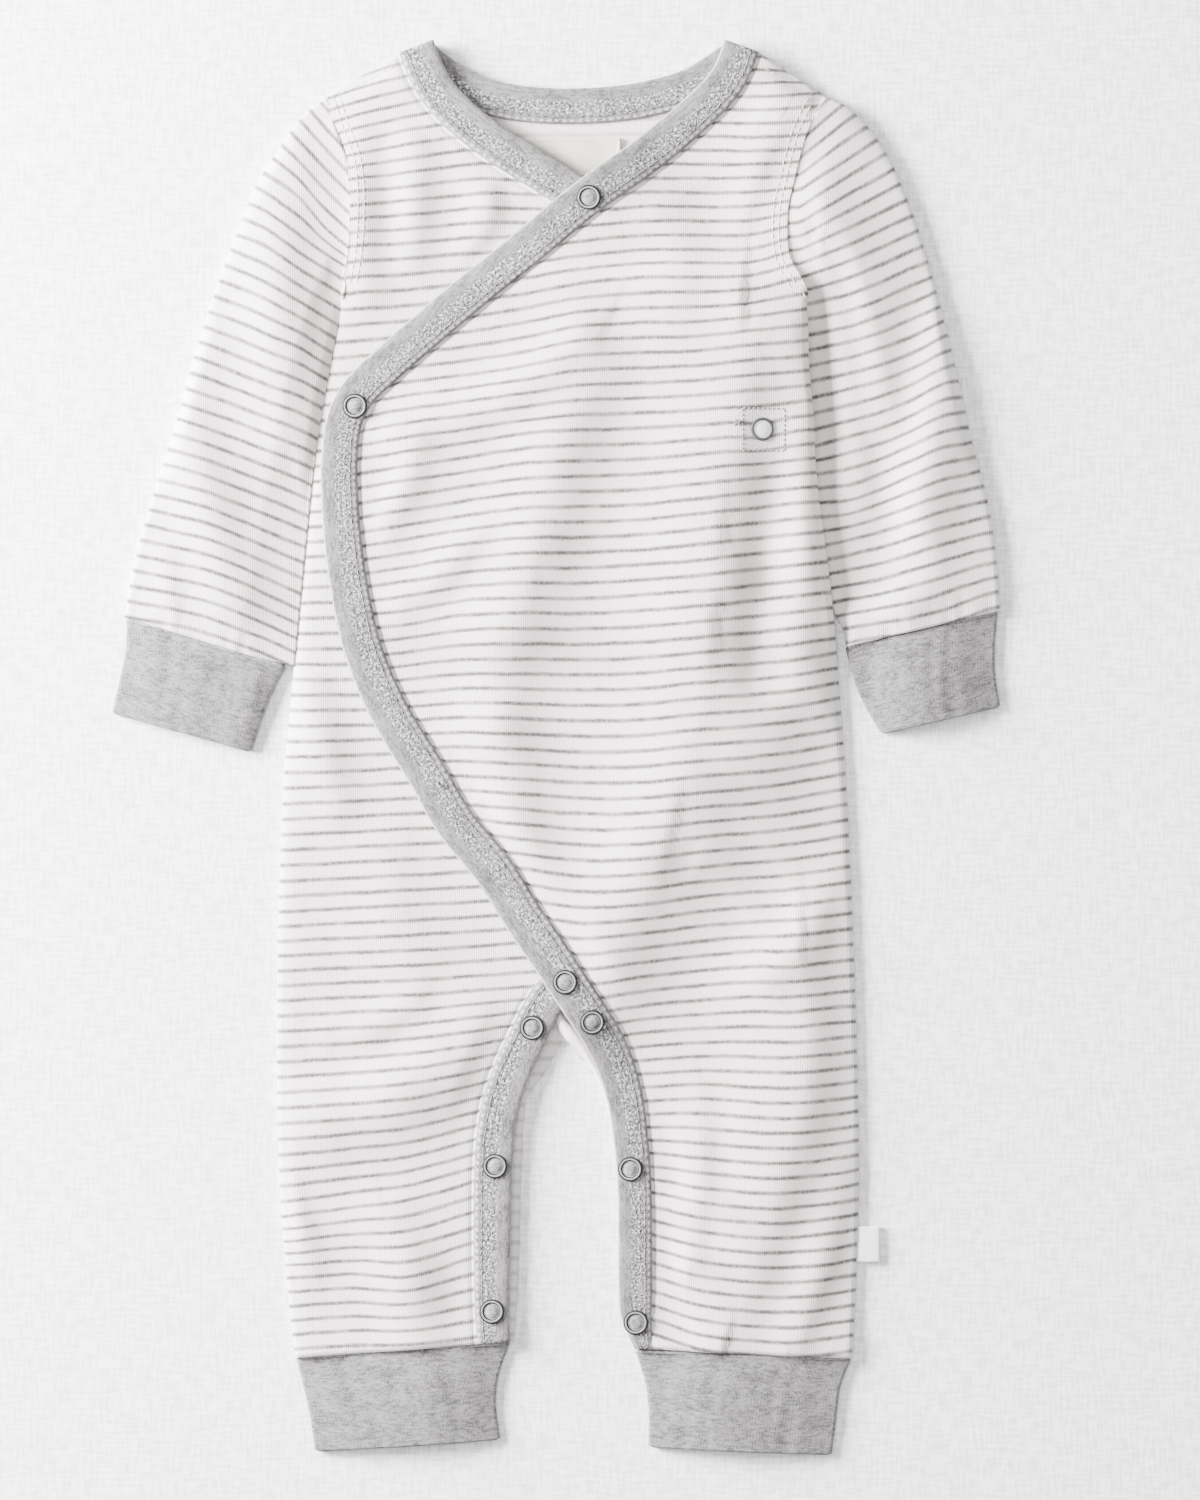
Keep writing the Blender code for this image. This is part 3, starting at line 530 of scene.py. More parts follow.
@dataclass
class Layers:
    """How high each layer of the garment lies, from the lines of its edges.

    Attributes:
        over_line: The folded edge of the wearer's left front.
        under_line: The folded edge of the wearer's right front.
        neck_line: The folded edge round the back of the neck.
        seams: The armhole and side seam of each side.
    """

    over_line: Array = field(default_factory=lambda: smooth_line(EDGE_OVER, 6.0))
    under_line: Array = field(default_factory=lambda: smooth_line(EDGE_UNDER, 6.0))
    neck_line: Array = field(default_factory=lambda: smooth_line(EDGE_BACK_NECK, 6.0))
    seams: dict[Side, Array] = field(default_factory=lambda: {
        side: smooth_line(rows, 5.0) for side, rows in SIDE_SEAM.items()})

    def neck_distance(self, x: Array, y: Array) -> Array:
        """Distance from the back neck's band, negative on it.

        Args:
            x: Places across.
            y: Places along.

        Returns:
            The distances.
        """
        half = EDGE_BACK_NECK[0].width / 2
        middle = self.neck_line[:, :2] + half * inward(self.neck_line)
        return nearest(middle, x, y)[0] - half

    def neck_lift(self, x: Array, y: Array) -> Array:
        """How far the fronts are lifted by the back neck's binding."""
        return LAYER_RISE * fade(self.neck_distance(x, y), NECK_REACH, NECK_RUN)

    def on_under(self, x: Array, y: Array) -> Array:
        """1 where the right front lies beneath, falling to 0 past its edge."""
        past = fade(nearest(self.under_line, x, y)[0], 0.5, WRAP_RUN)
        return np.where(x <= x_at(self.under_line, y), 1.0, past)

    def crossing(self, x: Array, y: Array) -> Array:
        """The extra rise where the two bindings cross."""
        near = np.minimum(*(np.hypot(x - spot.x, y - spot.y) for spot in CROSSINGS))
        return CROSSING_RISE * fade(near, CROSSING_REACH, CROSSING_RUN)

    def rolled(self, level: Array, x: Array, y: Array, side: Side, band: Array) -> Array:
        """Bring a front's level down to the back along the side seam and the shoulder.

        Args:
            level: The front's height away from its seams.
            x: Places across.
            y: Places along.
            side: The front's side of the wearer.
            band: The folded edge of the front's binding.

        Returns:
            The front's height.
        """
        seam = self.seams[side]
        to_side = np.abs(x - x_at(seam, y))
        roll = SIDE_ROLL + LEG_ROLL * ON_LEG.at(y) * (side is Side.LEFT)
        dome = np.sin(0.5 * math.pi * np.minimum(1.0, to_side / roll))
        side_roll = 1.0 + (dome - 1.0) * BELOW_ARM.at(y)
        shoulder = np.array([NECK_TIP[side], SIDE_SEAM[side][0]])
        to_shoulder = nearest(shoulder, x, y)[0]
        by_neck = fade(nearest(band, x, y)[0], STRAP_REACH, STRAP_RUN)
        shoulder_roll = np.sin(0.5 * math.pi * np.minimum(1.0, to_shoulder / SIDE_ROLL))
        shoulder_roll = shoulder_roll + (1.0 - shoulder_roll) * by_neck
        puff = self.side_puff(y) * (side is Side.LEFT)
        edge = EDGE_LEVEL + puff
        return edge + (level + 0.5 * puff - edge) * side_roll * shoulder_roll

    def relief(self, rows: Sequence[Crease], band: Array, x: Array, y: Array) -> Array:
        """Creases and the small puckers along a binding's seam.

        Args:
            rows: The front's creases.
            band: The folded edge of its binding.
            x: Places across.
            y: Places along.

        Returns:
            What they add to the front's height.
        """
        distance, along, _ = nearest(band, x, y)
        beside = fade(np.abs(distance - PUCKER_AWAY), 0.0, PUCKER_RUN)
        pucker = PUCKER * ripple(along, 9.0, 0.4) * beside
        drift = DRIFT * ripple(0.6 * x + y, 47.0, 1.1) * ripple(0.9 * x - 0.3 * y, 61.0, 2.3)
        width = np.interp(along, arc_length(band), band[:, 2])
        groove = -GROOVE * np.exp(-((distance - width - GROOVE_AWAY) / GROOVE_AWAY) ** 2)
        return (creased(rows, x, y) + drift) * CLEAR_OF_BAND.at(distance) + pucker + groove

    def hem_lift(self, y: Array, hem: float) -> Array:
        """The rise of a leg's front where the cuff is tucked under its hem."""
        return HEM_RISE * fade(y - hem, 0.0, HEM_RUN)

    def side_puff(self, y: Array) -> Array:
        """How much the wearer's left side is raised where the sleeve lies against it."""
        swell = 1.0 + PUFF_SWELL * PUFF_UNDERARM.at(y)
        return EDGE_PUFF * swell * PUFF_FOOT.at(y) * PUFF_HEAD.at(y)

    def back(self, x: Array, y: Array) -> Array:
        """Underside of the back.

        Args:
            x: Places across.
            y: Places along.

        Returns:
            Its heights.
        """
        level = PLY * fade(self.neck_distance(x, y), NECK_REACH, BACK_NECK_RUN)
        to_side = np.abs(x - x_at(self.seams[Side.LEFT], y))
        return level + self.side_puff(y) * BELOW_ARM.at(y) * fade(to_side, 0.5, SIDE_PUFF_RUN)

    def under(self, x: Array, y: Array) -> Array:
        """Underside of the wearer's right front.

        Args:
            x: Places across.
            y: Places along.

        Returns:
            Its heights.
        """
        level = FRONT_LEVEL + self.neck_lift(x, y)
        clear = CLEAR_OF_WRAP.at(x_at(self.over_line, y) - x)
        level = level + self.relief(CREASES_UNDER, self.under_line, x, y) * clear
        return self.rolled(level, x, y, Side.RIGHT, self.under_line)

    def over(self, x: Array, y: Array) -> Array:
        """Underside of the wearer's left front.

        Args:
            x: Places across.
            y: Places along.

        Returns:
            Its heights.
        """
        level = FRONT_LEVEL + self.neck_lift(x, y) + LAYER_RISE * self.on_under(x, y)
        level = level + self.crossing(x, y) + self.relief(CREASES_OVER, self.over_line, x, y)
        return self.rolled(level, x, y, Side.LEFT, self.over_line)


def upper_face(underside: HeightRule) -> HeightRule:
    """The rule for the upper face of a cloth, from its underside's."""
    return lambda x, y: underside(x, y) + WALL


LAYERS = Layers()
FRONT_TOP = {Side.RIGHT: upper_face(LAYERS.under), Side.LEFT: upper_face(LAYERS.over)}


# ---------------------------------------------------------------- stripes

@dataclass(frozen=True)
class Drape:
    """Where counted stripes run on a piece: rows of a count and its heights across.

    Attributes:
        across: Places along X, in millimetres.
        rows: A stripe's count from the top, then its height at each of those places.
    """

    across: tuple[float, ...]
    rows: tuple[tuple[float, ...], ...]

    def count(self, x: Array, y: Array) -> Array:
        """The stripe count at places x and y, whole on a stripe's middle line.

        Args:
            x: Places across.
            y: Places along.

        Returns:
            Counts, between rows in proportion and past the ends at the last pitch.
        """
        table = np.array(self.rows, dtype=float)
        places = np.array(self.across)
        fine = np.linspace(places[0], places[-1], 160)
        levels = []
        for heights in table[:, 1:]:
            curve = smooth_line(np.stack([places, heights], axis=1), 2.0)
            levels.append(np.interp(x, fine, np.interp(fine, curve[:, 0], curve[:, 1])))
        result = np.zeros(np.shape(x))
        last = len(levels) - 2
        for k in range(len(levels) - 1):
            top, bottom = levels[k], levels[k + 1]
            part = (top - y) / (top - bottom)
            here = ((part >= 0) | (k == 0)) & ((part < 1) | (k == last))
            value = table[k, 0] + part * (table[k + 1, 0] - table[k, 0])
            result = np.where(here, value, result)
        return result


DRAPE_OVER = Drape(
    (-98.6, -62.6, -38.6, -14.6, 9.4, 33.4, 57.4, 77.4, 93.4, 111.4, 121),
    (
        (0, 238, 246, 250, 254, 258, 260.4, 260.8, 259.6, 260, 262, 264),
        (6, 205, 213.6, 217.6, 221.2, 225, 227, 227.2, 227.2, 228, 229.6, 231),
        (12, 170, 178.4, 182.4, 186.4, 190.4, 192.8, 192.8, 193.2, 198, 202, 205),
        (18, 138, 145.2, 148, 151.2, 156, 157.2, 158, 160.4, 161.6, 164, 166),
        (23, 112, 117.6, 121.2, 124.8, 126.4, 127.2, 128.4, 130, 131.6, 133.6, 135),
        (28, 82, 88.4, 92, 95.2, 96, 96.8, 99.2, 101.6, 103.2, 104.8, 106),
        (34, 51, 54.4, 58.4, 59.6, 59.6, 60.8, 62.4, 64.8, 66.4, 68.4, 69.4),
        (40, 18, 21.6, 23.6, 23.6, 23.2, 23.6, 26, 27.2, 28.8, 32, 34),
        (47, -16.8, -16.8, -16.8, -18.4, -20, -20, -17.6, -16, -14, -10.8, -9),
        (54, -54.4, -54.4, -55.4, -59.6, -63.6, -62.4, -59.2, -57.6, -56.8, -54.4, -53),
        (61, -100, -100, -101, -104, -106.4, -102.8, -100.8, -99.2, -99.2, -97.6, -97),
        (68, -142, -142, -142, -142.4, -142.4, -141.2, -140, -141.2, -141.6, -140.4, -139),
        (75, -176, -176, -176, -176, -176.2, -176.8, -181.2, -183.2, -183.2, -181.6, -180),
        (84, -226, -226, -226, -226, -226.4, -227.2, -234, -236.4, -237.2, -235.6, -234),
    ),
)
DRAPE_UNDER = Drape(
    (-112, -82.6, -58.6, -34.6, -14.6, 20),
    (
        (1, 247, 256.8, 262.8, 268.4, 271.2, 272),
        (4, 233, 241.2, 246.4, 250.4, 252.8, 253),
        (8, 215.8, 221.6, 224, 226.8, 226.8, 226),
        (12, 196, 200, 201.6, 203.6, 204, 203),
        (16, 173, 175.2, 176.8, 179.2, 180, 179),
        (20, 147.4, 149.6, 152, 154.4, 156, 156),
        (33, 69.6, 70.8, 71.6, 72.4, 73.2, 74),
        (40, 27.2, 27.2, 28, 28.8, 29.6, 30),
        (47, -16.2, -15.2, -14, -12.8, -12, -11),
        (54, -59.6, -58, -56.8, -55.6, -54.4, -53),
        (61, -101, -99.6, -98.8, -97.2, -95.6, -94),
        (68, -144, -142, -139.6, -134.8, -130.4, -126),
        (75, -187.8, -183.6, -180.4, -173.6, -167.2, -161),
        (80, -212, -210, -210.8, -204, -198.8, -192),
        (84, -234.8, -232.8, -232.4, -229.2, -225.6, -222),
    ),
)
DRAPE_SLEEVE = {
    Side.RIGHT: Drape(
        (-178, -162.6, -150.6, -138.6, -126.6, -114.6, -102.6, -92.6, -80),
        (
            (-7, 345, 329.2, 315.2, 301.2, 287.2, 273.6, 259.6, 248, 234),
            (-4, 298, 287.2, 276.8, 266.4, 256, 245.2, 233.6, 223.2, 211),
            (-2, 268, 259.2, 252, 244, 236, 228, 219.6, 207.6, 197),
            (0, 243, 236.4, 230.8, 225.2, 219.2, 213.2, 204.4, 197.6, 190),
            (2, 225.6, 220, 215.2, 210, 204.4, 199.2, 190.8, 185.2, 178),
            (4, 209.8, 204.8, 200.4, 195.6, 190.4, 184.8, 178, 172, 165),
            (7, 185.8, 181.6, 178, 174, 169.6, 164.4, 159.6, 153.6, 147),
            (10, 165.4, 161.6, 158, 154, 149.2, 144.4, 140.4, 135.2, 129),
            (13, 145, 141.2, 137.6, 133.6, 129.6, 124.8, 120.4, 115.2, 109),
            (16, 124.4, 120.8, 118, 114.4, 110, 105.6, 100.8, 96, 90),
            (19, 105, 101.6, 98.8, 95.6, 90.8, 86, 81.2, 76.8, 71),
            (23, 79, 76, 73.2, 70.8, 66.4, 60.8, 55.2, 50.4, 45),
            (27, 53.4, 50.8, 48.8, 45.6, 41.2, 36.8, 31.2, 26.4, 21),
        ),
    ),
    Side.LEFT: Drape(
        (97, 107.4, 117.4, 129.4, 141.4, 153.4, 163.4, 171.4, 181),
        (
            (1, 235, 243.6, 251.2, 259.2, 267.2, 275.2, 281.2, 286, 291),
            (3, 222, 229.2, 235.6, 243.6, 251.6, 259.6, 265.6, 270.4, 275),
            (5, 209, 215.2, 221.2, 228, 234.8, 241.6, 246.8, 251.2, 256),
            (8, 193, 196.8, 200.8, 206.4, 212, 217.6, 222, 225.6, 229),
            (12, 170.6, 172.4, 174.4, 178.8, 184.4, 189.2, 193.2, 196.4, 200),
            (16, 145.6, 147.6, 149.6, 152.8, 157.2, 163.6, 168, 171.2, 174),
            (20, 119, 121.6, 124.4, 127.6, 132.4, 138.4, 140.4, 142.8, 145),
            (24, 97, 98, 98.8, 103.2, 108.4, 113.2, 115.2, 117.6, 120),
            (27, 79.6, 81.2, 83.2, 86.4, 90, 94, 96.4, 98.4, 100),
            (30, 61.4, 63.2, 65.2, 67.2, 70.8, 74.4, 77.2, 79.2, 81),
            (33, 44.4, 46, 48, 50, 51.6, 54.8, 58.4, 61.2, 63),
        ),
    ),
}
DRAPE_BACK = Drape(
    (-112, -60, -20, 8, 40, 80, 122),
    (
        (0, 254, 256, 257.2, 257.6, 257.8, 256.8, 255),
        (2, 241.6, 243.6, 244.8, 245, 245.2, 244.6, 243),
        (30, 70, 71.4, 72.4, 72.8, 73, 72.4, 71),
        (58, -103, -101.4, -100, -99.6, -99.4, -100.4, -102),
        (80, -237, -236, -234.6, -234.2, -234.4, -235.4, -237),
    ),
)


# ---------------------------------------------------------------- shader expressions

def joining(operation: str, swapped: bool = False) -> Callable[..., "Value"]:
    """Make a method that joins a value to another one, or to a number, by a Math node.

    Args:
        operation: The node's operation.
        swapped: Whether the other value is the first one.

    Returns:
        The method.
    """
    def method(value: "Value", other: "Value | float") -> "Value":
        """Add the Math node."""
        pair = (other, value) if swapped else (value, other)
        return value.graph.math(operation, *pair)
    return method


class Value:
    """A shader socket that takes part in Python expressions."""

    def __init__(self, graph: "Graph", socket: bpy.types.NodeSocket) -> None:
        """Wrap a socket of a graph."""
        self.graph = graph
        self.socket = socket

    __add__ = joining("ADD")
    __radd__ = joining("ADD", swapped=True)
    __sub__ = joining("SUBTRACT")
    __rsub__ = joining("SUBTRACT", swapped=True)
    __mul__ = joining("MULTIPLY")

    def __abs__(self) -> "Value":
        """Size without sign."""
        return self.graph.math("ABSOLUTE", self)


Input = "Value | float | tuple"


class Graph:
    """The node tree of one material."""

    def __init__(self, name: str) -> None:
        """Start a material with a Principled BSDF.

        Args:
            name: The material's name.
        """
        self.material = bpy.data.materials.new(name)
        self.material.use_nodes = True
        self.tree = self.material.node_tree
        self.shader = self.tree.nodes["Principled BSDF"]

    def node(self, kind: str, settings: dict, sockets: dict, output: int | str = 0) -> Value:
        """Add a node.

        Args:
            kind: The node's type.
            settings: Properties of the node, set first.
            sockets: Values or links by the socket's name or number.
            output: The output to return, by name or number.

        Returns:
            The chosen output.
        """
        node = self.tree.nodes.new(kind)
        for key, setting in settings.items():
            setattr(node, key, setting)
        for key, entry in sockets.items():
            self.feed(node.inputs[key], entry)
        return Value(self, node.outputs[output])

    def feed(self, socket: bpy.types.NodeSocket, entry: Input) -> None:
        """Link a value to a socket, or set the socket.

        Args:
            socket: A node's input.
            entry: The value or the constant.
        """
        if isinstance(entry, Value):
            self.tree.links.new(entry.socket, socket)
        else:
            socket.default_value = entry

    def math(self, operation: str, *entries: "Value | float") -> Value:
        """Add a Math node."""
        return self.node("ShaderNodeMath", {"operation": operation}, dict(enumerate(entries)))

    def sine(self, value: Value, pitch: float) -> Value:
        """Waves of a value from -1 to 1."""
        return self.math("SINE", value * (math.tau / pitch))

    def mix(self, factor: "Value | float", first: Input, second: Input) -> Value:
        """Mix two colours, each a value or a linear triple.

        Args:
            factor: The second one's share.
            first: A colour.
            second: A colour.

        Returns:
            The mixed colour.
        """
        first, second = (entry if isinstance(entry, Value) else (*entry, 1.0)
                         for entry in (first, second))
        settings = {"data_type": "RGBA", "clamp_factor": True}
        sockets = {0: factor, 6: first, 7: second}
        return self.node("ShaderNodeMix", settings, sockets, 2)

    def ramp_up(self, value: Value, low: float, high: float, bottom: float = 0.0,
                top: float = 1.0) -> Value:
        """Smooth step of a value.

        Args:
            value: What is stepped.
            low: Where the step starts.
            high: Where it ends.
            bottom: The result below low.
            top: The result above high.

        Returns:
            The stepped value.
        """
        sockets = {"Value": value, "From Min": low, "From Max": high, "To Min": bottom,
                   "To Max": top}
        return self.node("ShaderNodeMapRange", {"interpolation_type": "SMOOTHSTEP"}, sockets)

    def noise(self, vector: Value, scale: float, detail: float = 2.0,
              roughness: float = 0.5) -> Value:
        """Noise from 0 to 1, mostly near the middle."""
        sockets = {"Vector": vector, "Scale": scale, "Detail": detail, "Roughness": roughness}
        return self.node("ShaderNodeTexNoise", {"noise_dimensions": "3D"}, sockets)

    def vector(self, x: "Value | float", y: "Value | float", z: "Value | float" = 0.0) -> Value:
        """A vector of three values."""
        return self.node("ShaderNodeCombineXYZ", {}, {"X": x, "Y": y, "Z": z})

    def cloth_map(self) -> tuple[Value, Value]:
        """The cloth's own coordinates: millimetres along, and stripes or millimetres across."""
        uv = self.node("ShaderNodeUVMap", {"uv_map": "cloth"}, {})
        return self.parted(uv, UV_SPAN)

    def place(self) -> Value:
        """Object coordinates, in metres."""
        return self.node("ShaderNodeTexCoord", {}, {}, "Object")

    def parted(self, vector: Value, scale: float) -> tuple[Value, Value]:
        """The first two numbers of a vector, each times scale."""
        x, y = (self.node("ShaderNodeSeparateXYZ", {}, {"Vector": vector}, axis) for axis in "XY")
        return x * scale, y * scale

    def bump(self, height: Value, distance: float, strength: float = 1.0) -> None:
        """Raise the surface by a height, distance metres for 1."""
        sockets = {"Height": height, "Distance": distance, "Strength": strength}
        self.feed(self.shader.inputs["Normal"], self.node("ShaderNodeBump", {}, sockets))

    def finish(self, colour: Input, roughness: "Value | float", **constants: float) -> Material:
        """Feed the shader's colour and roughness and set its constants.

        Args:
            colour: The base colour.
            roughness: The roughness.
            constants: Other inputs by name, with an underscore for each space.

        Returns:
            The material.
        """
        self.feed(self.shader.inputs["Base Color"], colour)
        self.feed(self.shader.inputs["Roughness"], roughness)
        for name, number in constants.items():
            self.shader.inputs[name.replace("_", " ")].default_value = number
        return self.material


# ---------------------------------------------------------------- finishes

@dataclass(frozen=True)
class StripedInterlock:
    """Cream cotton interlock with thin space-dyed stripes.

    Attributes:
        slot: The material's name.
        cream: The ground's colour.
        cream_shade: Its colour where it is dull.
        stripe: The stripes' colour.
        pitch: The stripes' pitch, in millimetres.
        stripe_width: Their width, in millimetres.
        softness: How far a stripe's edge fades, within its width and beyond.
        jag: How far a stripe's edge jumps between loops, as a share of the pitch.
        wander: How far a stripe wanders, as a share of the pitch.
        dash: Where the dye of a run starts and is full, and how strong it is at the least.
        fleck: The same for single loops.
        dull: Where dull cloth starts and is full, how dull it is at the least and the most.
        strength: How strong the stripes are.
        wale: The pitch of the knit's wales, in millimetres.
        course: The pitch of its courses.
    """

    slot: str = "striped_interlock"
    cream: Colour = (0.72, 0.665, 0.65)
    cream_shade: Colour = (0.61, 0.565, 0.55)
    stripe: Colour = (0.088, 0.083, 0.081)
    pitch: float = 6.12
    stripe_width: float = 2.0
    softness: tuple[float, float] = (0.75, 0.45)
    jag: float = 0.07
    wander: float = 0.20
    dash: tuple[float, ...] = (0.34, 0.60, 0.76)
    fleck: tuple[float, ...] = (0.28, 0.60, 0.84)
    dull: tuple[float, ...] = (0.35, 0.68, 0.0, 0.55)
    strength: float = 1.0
    wale: float = 0.85
    course: float = 1.05

    def make(self) -> Material:
        """Build the material.

        Returns:
            The material.
        """
        g = Graph(self.slot)
        along, count = g.cloth_map()
        across = count * self.pitch
        grain = g.vector(along, across)
        jag = g.noise(g.vector(along * 1.1, across * 0.35), 1.0, 1.0)
        wander = g.noise(g.vector(along * 0.07, count * 0.9), 1.0, 3.0, 0.6)
        shifted = count + (jag - 0.5) * self.jag + (wander - 0.5) * self.wander + 0.5
        whole = g.math("FLOOR", shifted)
        offset = abs(shifted - whole - 0.5) * self.pitch
        half = 0.5 * self.stripe_width
        line = 1 - g.ramp_up(offset, half - self.softness[0], half + self.softness[1])
        run = g.noise(g.vector(along * 0.085, whole * 7.31), 1.0, 2.0, 0.6)
        dash = g.ramp_up(run, *self.dash)
        fleck = g.noise(g.vector(along * 0.9, whole * 3.7, across * 0.5), 1.0, 1.0)
        ink = line * dash * g.ramp_up(fleck, *self.fleck)
        cloud = g.noise(grain, 0.035, 3.0)
        slub = g.noise(g.vector(along * 0.55, across * 1.6), 1.0, 2.0)
        ground = g.mix(g.ramp_up(cloud * 0.6 + slub * 0.4, *self.dull), self.cream,
                       self.cream_shade)
        base = g.mix(ink * self.strength, ground, self.stripe)
        ribs = g.sine(along, self.wale)
        courses = g.sine(across, self.course)
        fuzz = g.noise(grain, 1.6, 2.0)
        height = ribs * 0.30 + courses * 0.16 + fuzz * 1.5 - line * 0.25
        g.bump(height, 0.00012, 0.8)
        return g.finish(base, 0.93 - fuzz * 0.08, Sheen_Weight=0.12, Sheen_Roughness=0.6,
                        Specular_IOR_Level=0.2)


@dataclass(frozen=True)
class HeatherRib:
    """Grey marl cotton rib, whose ribs run across the cloth map's first axis.

    Attributes:
        name: The material's name.
        rib: The ribs' pitch, in millimetres.
        rib_depth: How much the ribs show in the relief.
        grain: How fine the marl is.
        edge: How strong the painted highlight along the strip's folded edge is, 0 for a cuff.
        stitched: Whether a band of looper stitches pits the strip.
        by_place: Whether the marl follows the object's coordinates, for cloth without a map.
        light: The light yarn's colour.
        dark: The dark yarn's colour.
        contrast: Where the marl is all dark and where it is all light.
        band: Where the band of stitches starts, is full, wanes and ends, in from the fold.
        needle_line: How far in from the fold the needle holes are.
        beside_line: How far in the stitches' pale feet are.
        painted_hole_shade: The near-black colour painted as shade in the needle holes and between
            the threads.
        wear_and_painted_highlight: The colour of the painted highlight along the folded edge.
        thread: The stitches' colour.
    """

    name: str
    rib: float = 1.15
    rib_depth: float = 0.02
    edge: float = 0.0
    stitched: bool = False
    by_place: bool = False
    grain: float = 1.0
    light: Colour = (0.228, 0.214, 0.218)
    dark: Colour = (0.072, 0.068, 0.070)
    contrast: tuple[float, float] = (0.37, 0.61)
    band: tuple[float, float, float, float] = (4.8, 6.6, 10.8, 11.6)
    needle_line: float = 11.9
    beside_line: float = 13.7
    painted_hole_shade: Colour = (0.030, 0.029, 0.030)
    wear_and_painted_highlight: Colour = (0.80, 0.775, 0.765)
    thread: Colour = (0.62, 0.60, 0.60)

    def axes(self, g: Graph) -> tuple[Value, Value]:
        """The two coordinates of the cloth, in millimetres."""
        return g.parted(g.place(), 1 / MM) if self.by_place else g.cloth_map()

    def marl(self, g: Graph, along: Value, across: Value) -> Value:
        """How light the yarn is, from 0 to 1.

        Args:
            g: The material's graph.
            along: Millimetres along the cloth.
            across: Millimetres across it.

        Returns:
            The lightness.
        """
        size = self.grain
        yarn = g.noise(g.vector(along * 0.30 * size, across * 0.85 * size), 1.0, 3.0, 0.7)
        fibre = g.noise(g.vector(along * 1.1 * size, across * 1.7 * size, 4.0), 1.0, 1.0)
        cloud = g.noise(g.vector(along * 0.10, across * 0.16, 9.0), 1.0, 3.0, 0.6)
        ribs = g.sine(along, self.rib)
        total = yarn * 0.48 + fibre * 0.24 + cloud * 0.28 + ribs * 0.006
        return g.ramp_up(total, *self.contrast)

    def make(self) -> Material:
        """Build the material.

        Returns:
            The material.
        """
        g = Graph(self.name)
        along, across = self.axes(g)
        base = g.mix(self.marl(g, along, across), self.dark, self.light)
        if self.stitched:
            base = self.with_stitches(g, along, across, base)
        # A paler colour painted along the fold, on both plies, is a painted highlight where the
        # rounded fold faces the light.
        if self.edge:
            pale = 1 - g.ramp_up(abs(across), 0.20, 0.85)
            base = g.mix(pale * self.edge, base, self.wear_and_painted_highlight)
        ribs = g.sine(along, self.rib)
        fuzz = g.noise(g.vector(along, across), 1.8, 2.0)
        g.bump(ribs * self.rib_depth + fuzz * 1.4, 0.00014, 0.9)
        return g.finish(base, 0.95 - fuzz * 0.06, Sheen_Weight=0.1, Sheen_Roughness=0.6,
                        Specular_IOR_Level=0.18)

    def with_stitches(self, g: Graph, along: Value, across: Value, base: Value) -> Value:
        """Paint shade into the needle holes and the gaps between the looper's threads.

        Args:
            g: The material's graph.
            along: Millimetres along the strip.
            across: Fifteenths of the strip's width in from its fold.
            base: The colour so far.

        Returns:
            The colour with the band of stitches.
        """
        inside = g.ramp_up(across, *self.band[:2]) * (1 - g.ramp_up(across, *self.band[2:]))
        cells = g.noise(g.vector(along * 0.95, across * 0.95, 2.0), 1.0, 1.5, 0.6)
        # The near-black colour mixed in here and at the needle holes is painted shade in the gaps
        # and the holes.
        base = g.mix(inside * g.ramp_up(cells, 0.53, 0.61) * 0.72, base, self.painted_hole_shade)
        base = g.mix(inside * (1 - g.ramp_up(cells, 0.38, 0.46)) * 0.75, base, self.thread)
        slant = g.sine(along, STITCH_PITCH)
        holes = g.ramp_up(slant * 0.22 + cells, 0.36, 0.62)
        needle = 1 - g.ramp_up(abs(across - self.needle_line), 0.25, 0.85)
        base = g.mix(needle * holes * 0.9, base, self.painted_hole_shade)
        beside = 1 - g.ramp_up(abs(across - self.beside_line), 0.2, 0.8)
        return g.mix(beside * (1 - holes) * 0.5, base, self.thread)


@dataclass(frozen=True)
class SewingThread:
    """Spun polyester sewing thread."""

    name: str
    tone: Colour
    shade: Colour

    def make(self) -> Material:
        """Build the material.

        Returns:
            The material.
        """
        g = Graph(self.name)
        twist = g.noise(g.place(), 2600.0, 2.0)
        cloud = g.noise(g.place(), 160.0, 2.0)
        base = g.mix(g.ramp_up(twist * 0.6 + cloud * 0.4, 0.38, 0.64), self.shade, self.tone)
        g.bump(twist, 0.00006)
        return g.finish(base, 0.72, Sheen_Weight=0.1, Specular_IOR_Level=0.3)


@dataclass(frozen=True)
class EnamelledMetal:
    """Satin enamel over a stamped metal ring. Its two darkest copies are painted shade round the
    snaps' rings.
    """

    name: str
    tone: Colour
    wear_and_painted_highlight: Colour
    shine: float = 0.5

    def make(self) -> Material:
        """Build the material.

        Returns:
            The material.
        """
        g = Graph(self.name)
        cloud = g.noise(g.place(), 420.0, 3.0)
        speck = g.noise(g.place(), 2100.0, 2.0)
        worn = g.ramp_up(cloud * 0.5 + speck * 0.5, 0.5, 0.66, 0.0, 0.5)
        base = g.mix(worn, self.tone, self.wear_and_painted_highlight)
        g.bump(speck, 0.00003)
        return g.finish(base, 0.40 + speck * 0.16, Specular_IOR_Level=self.shine)


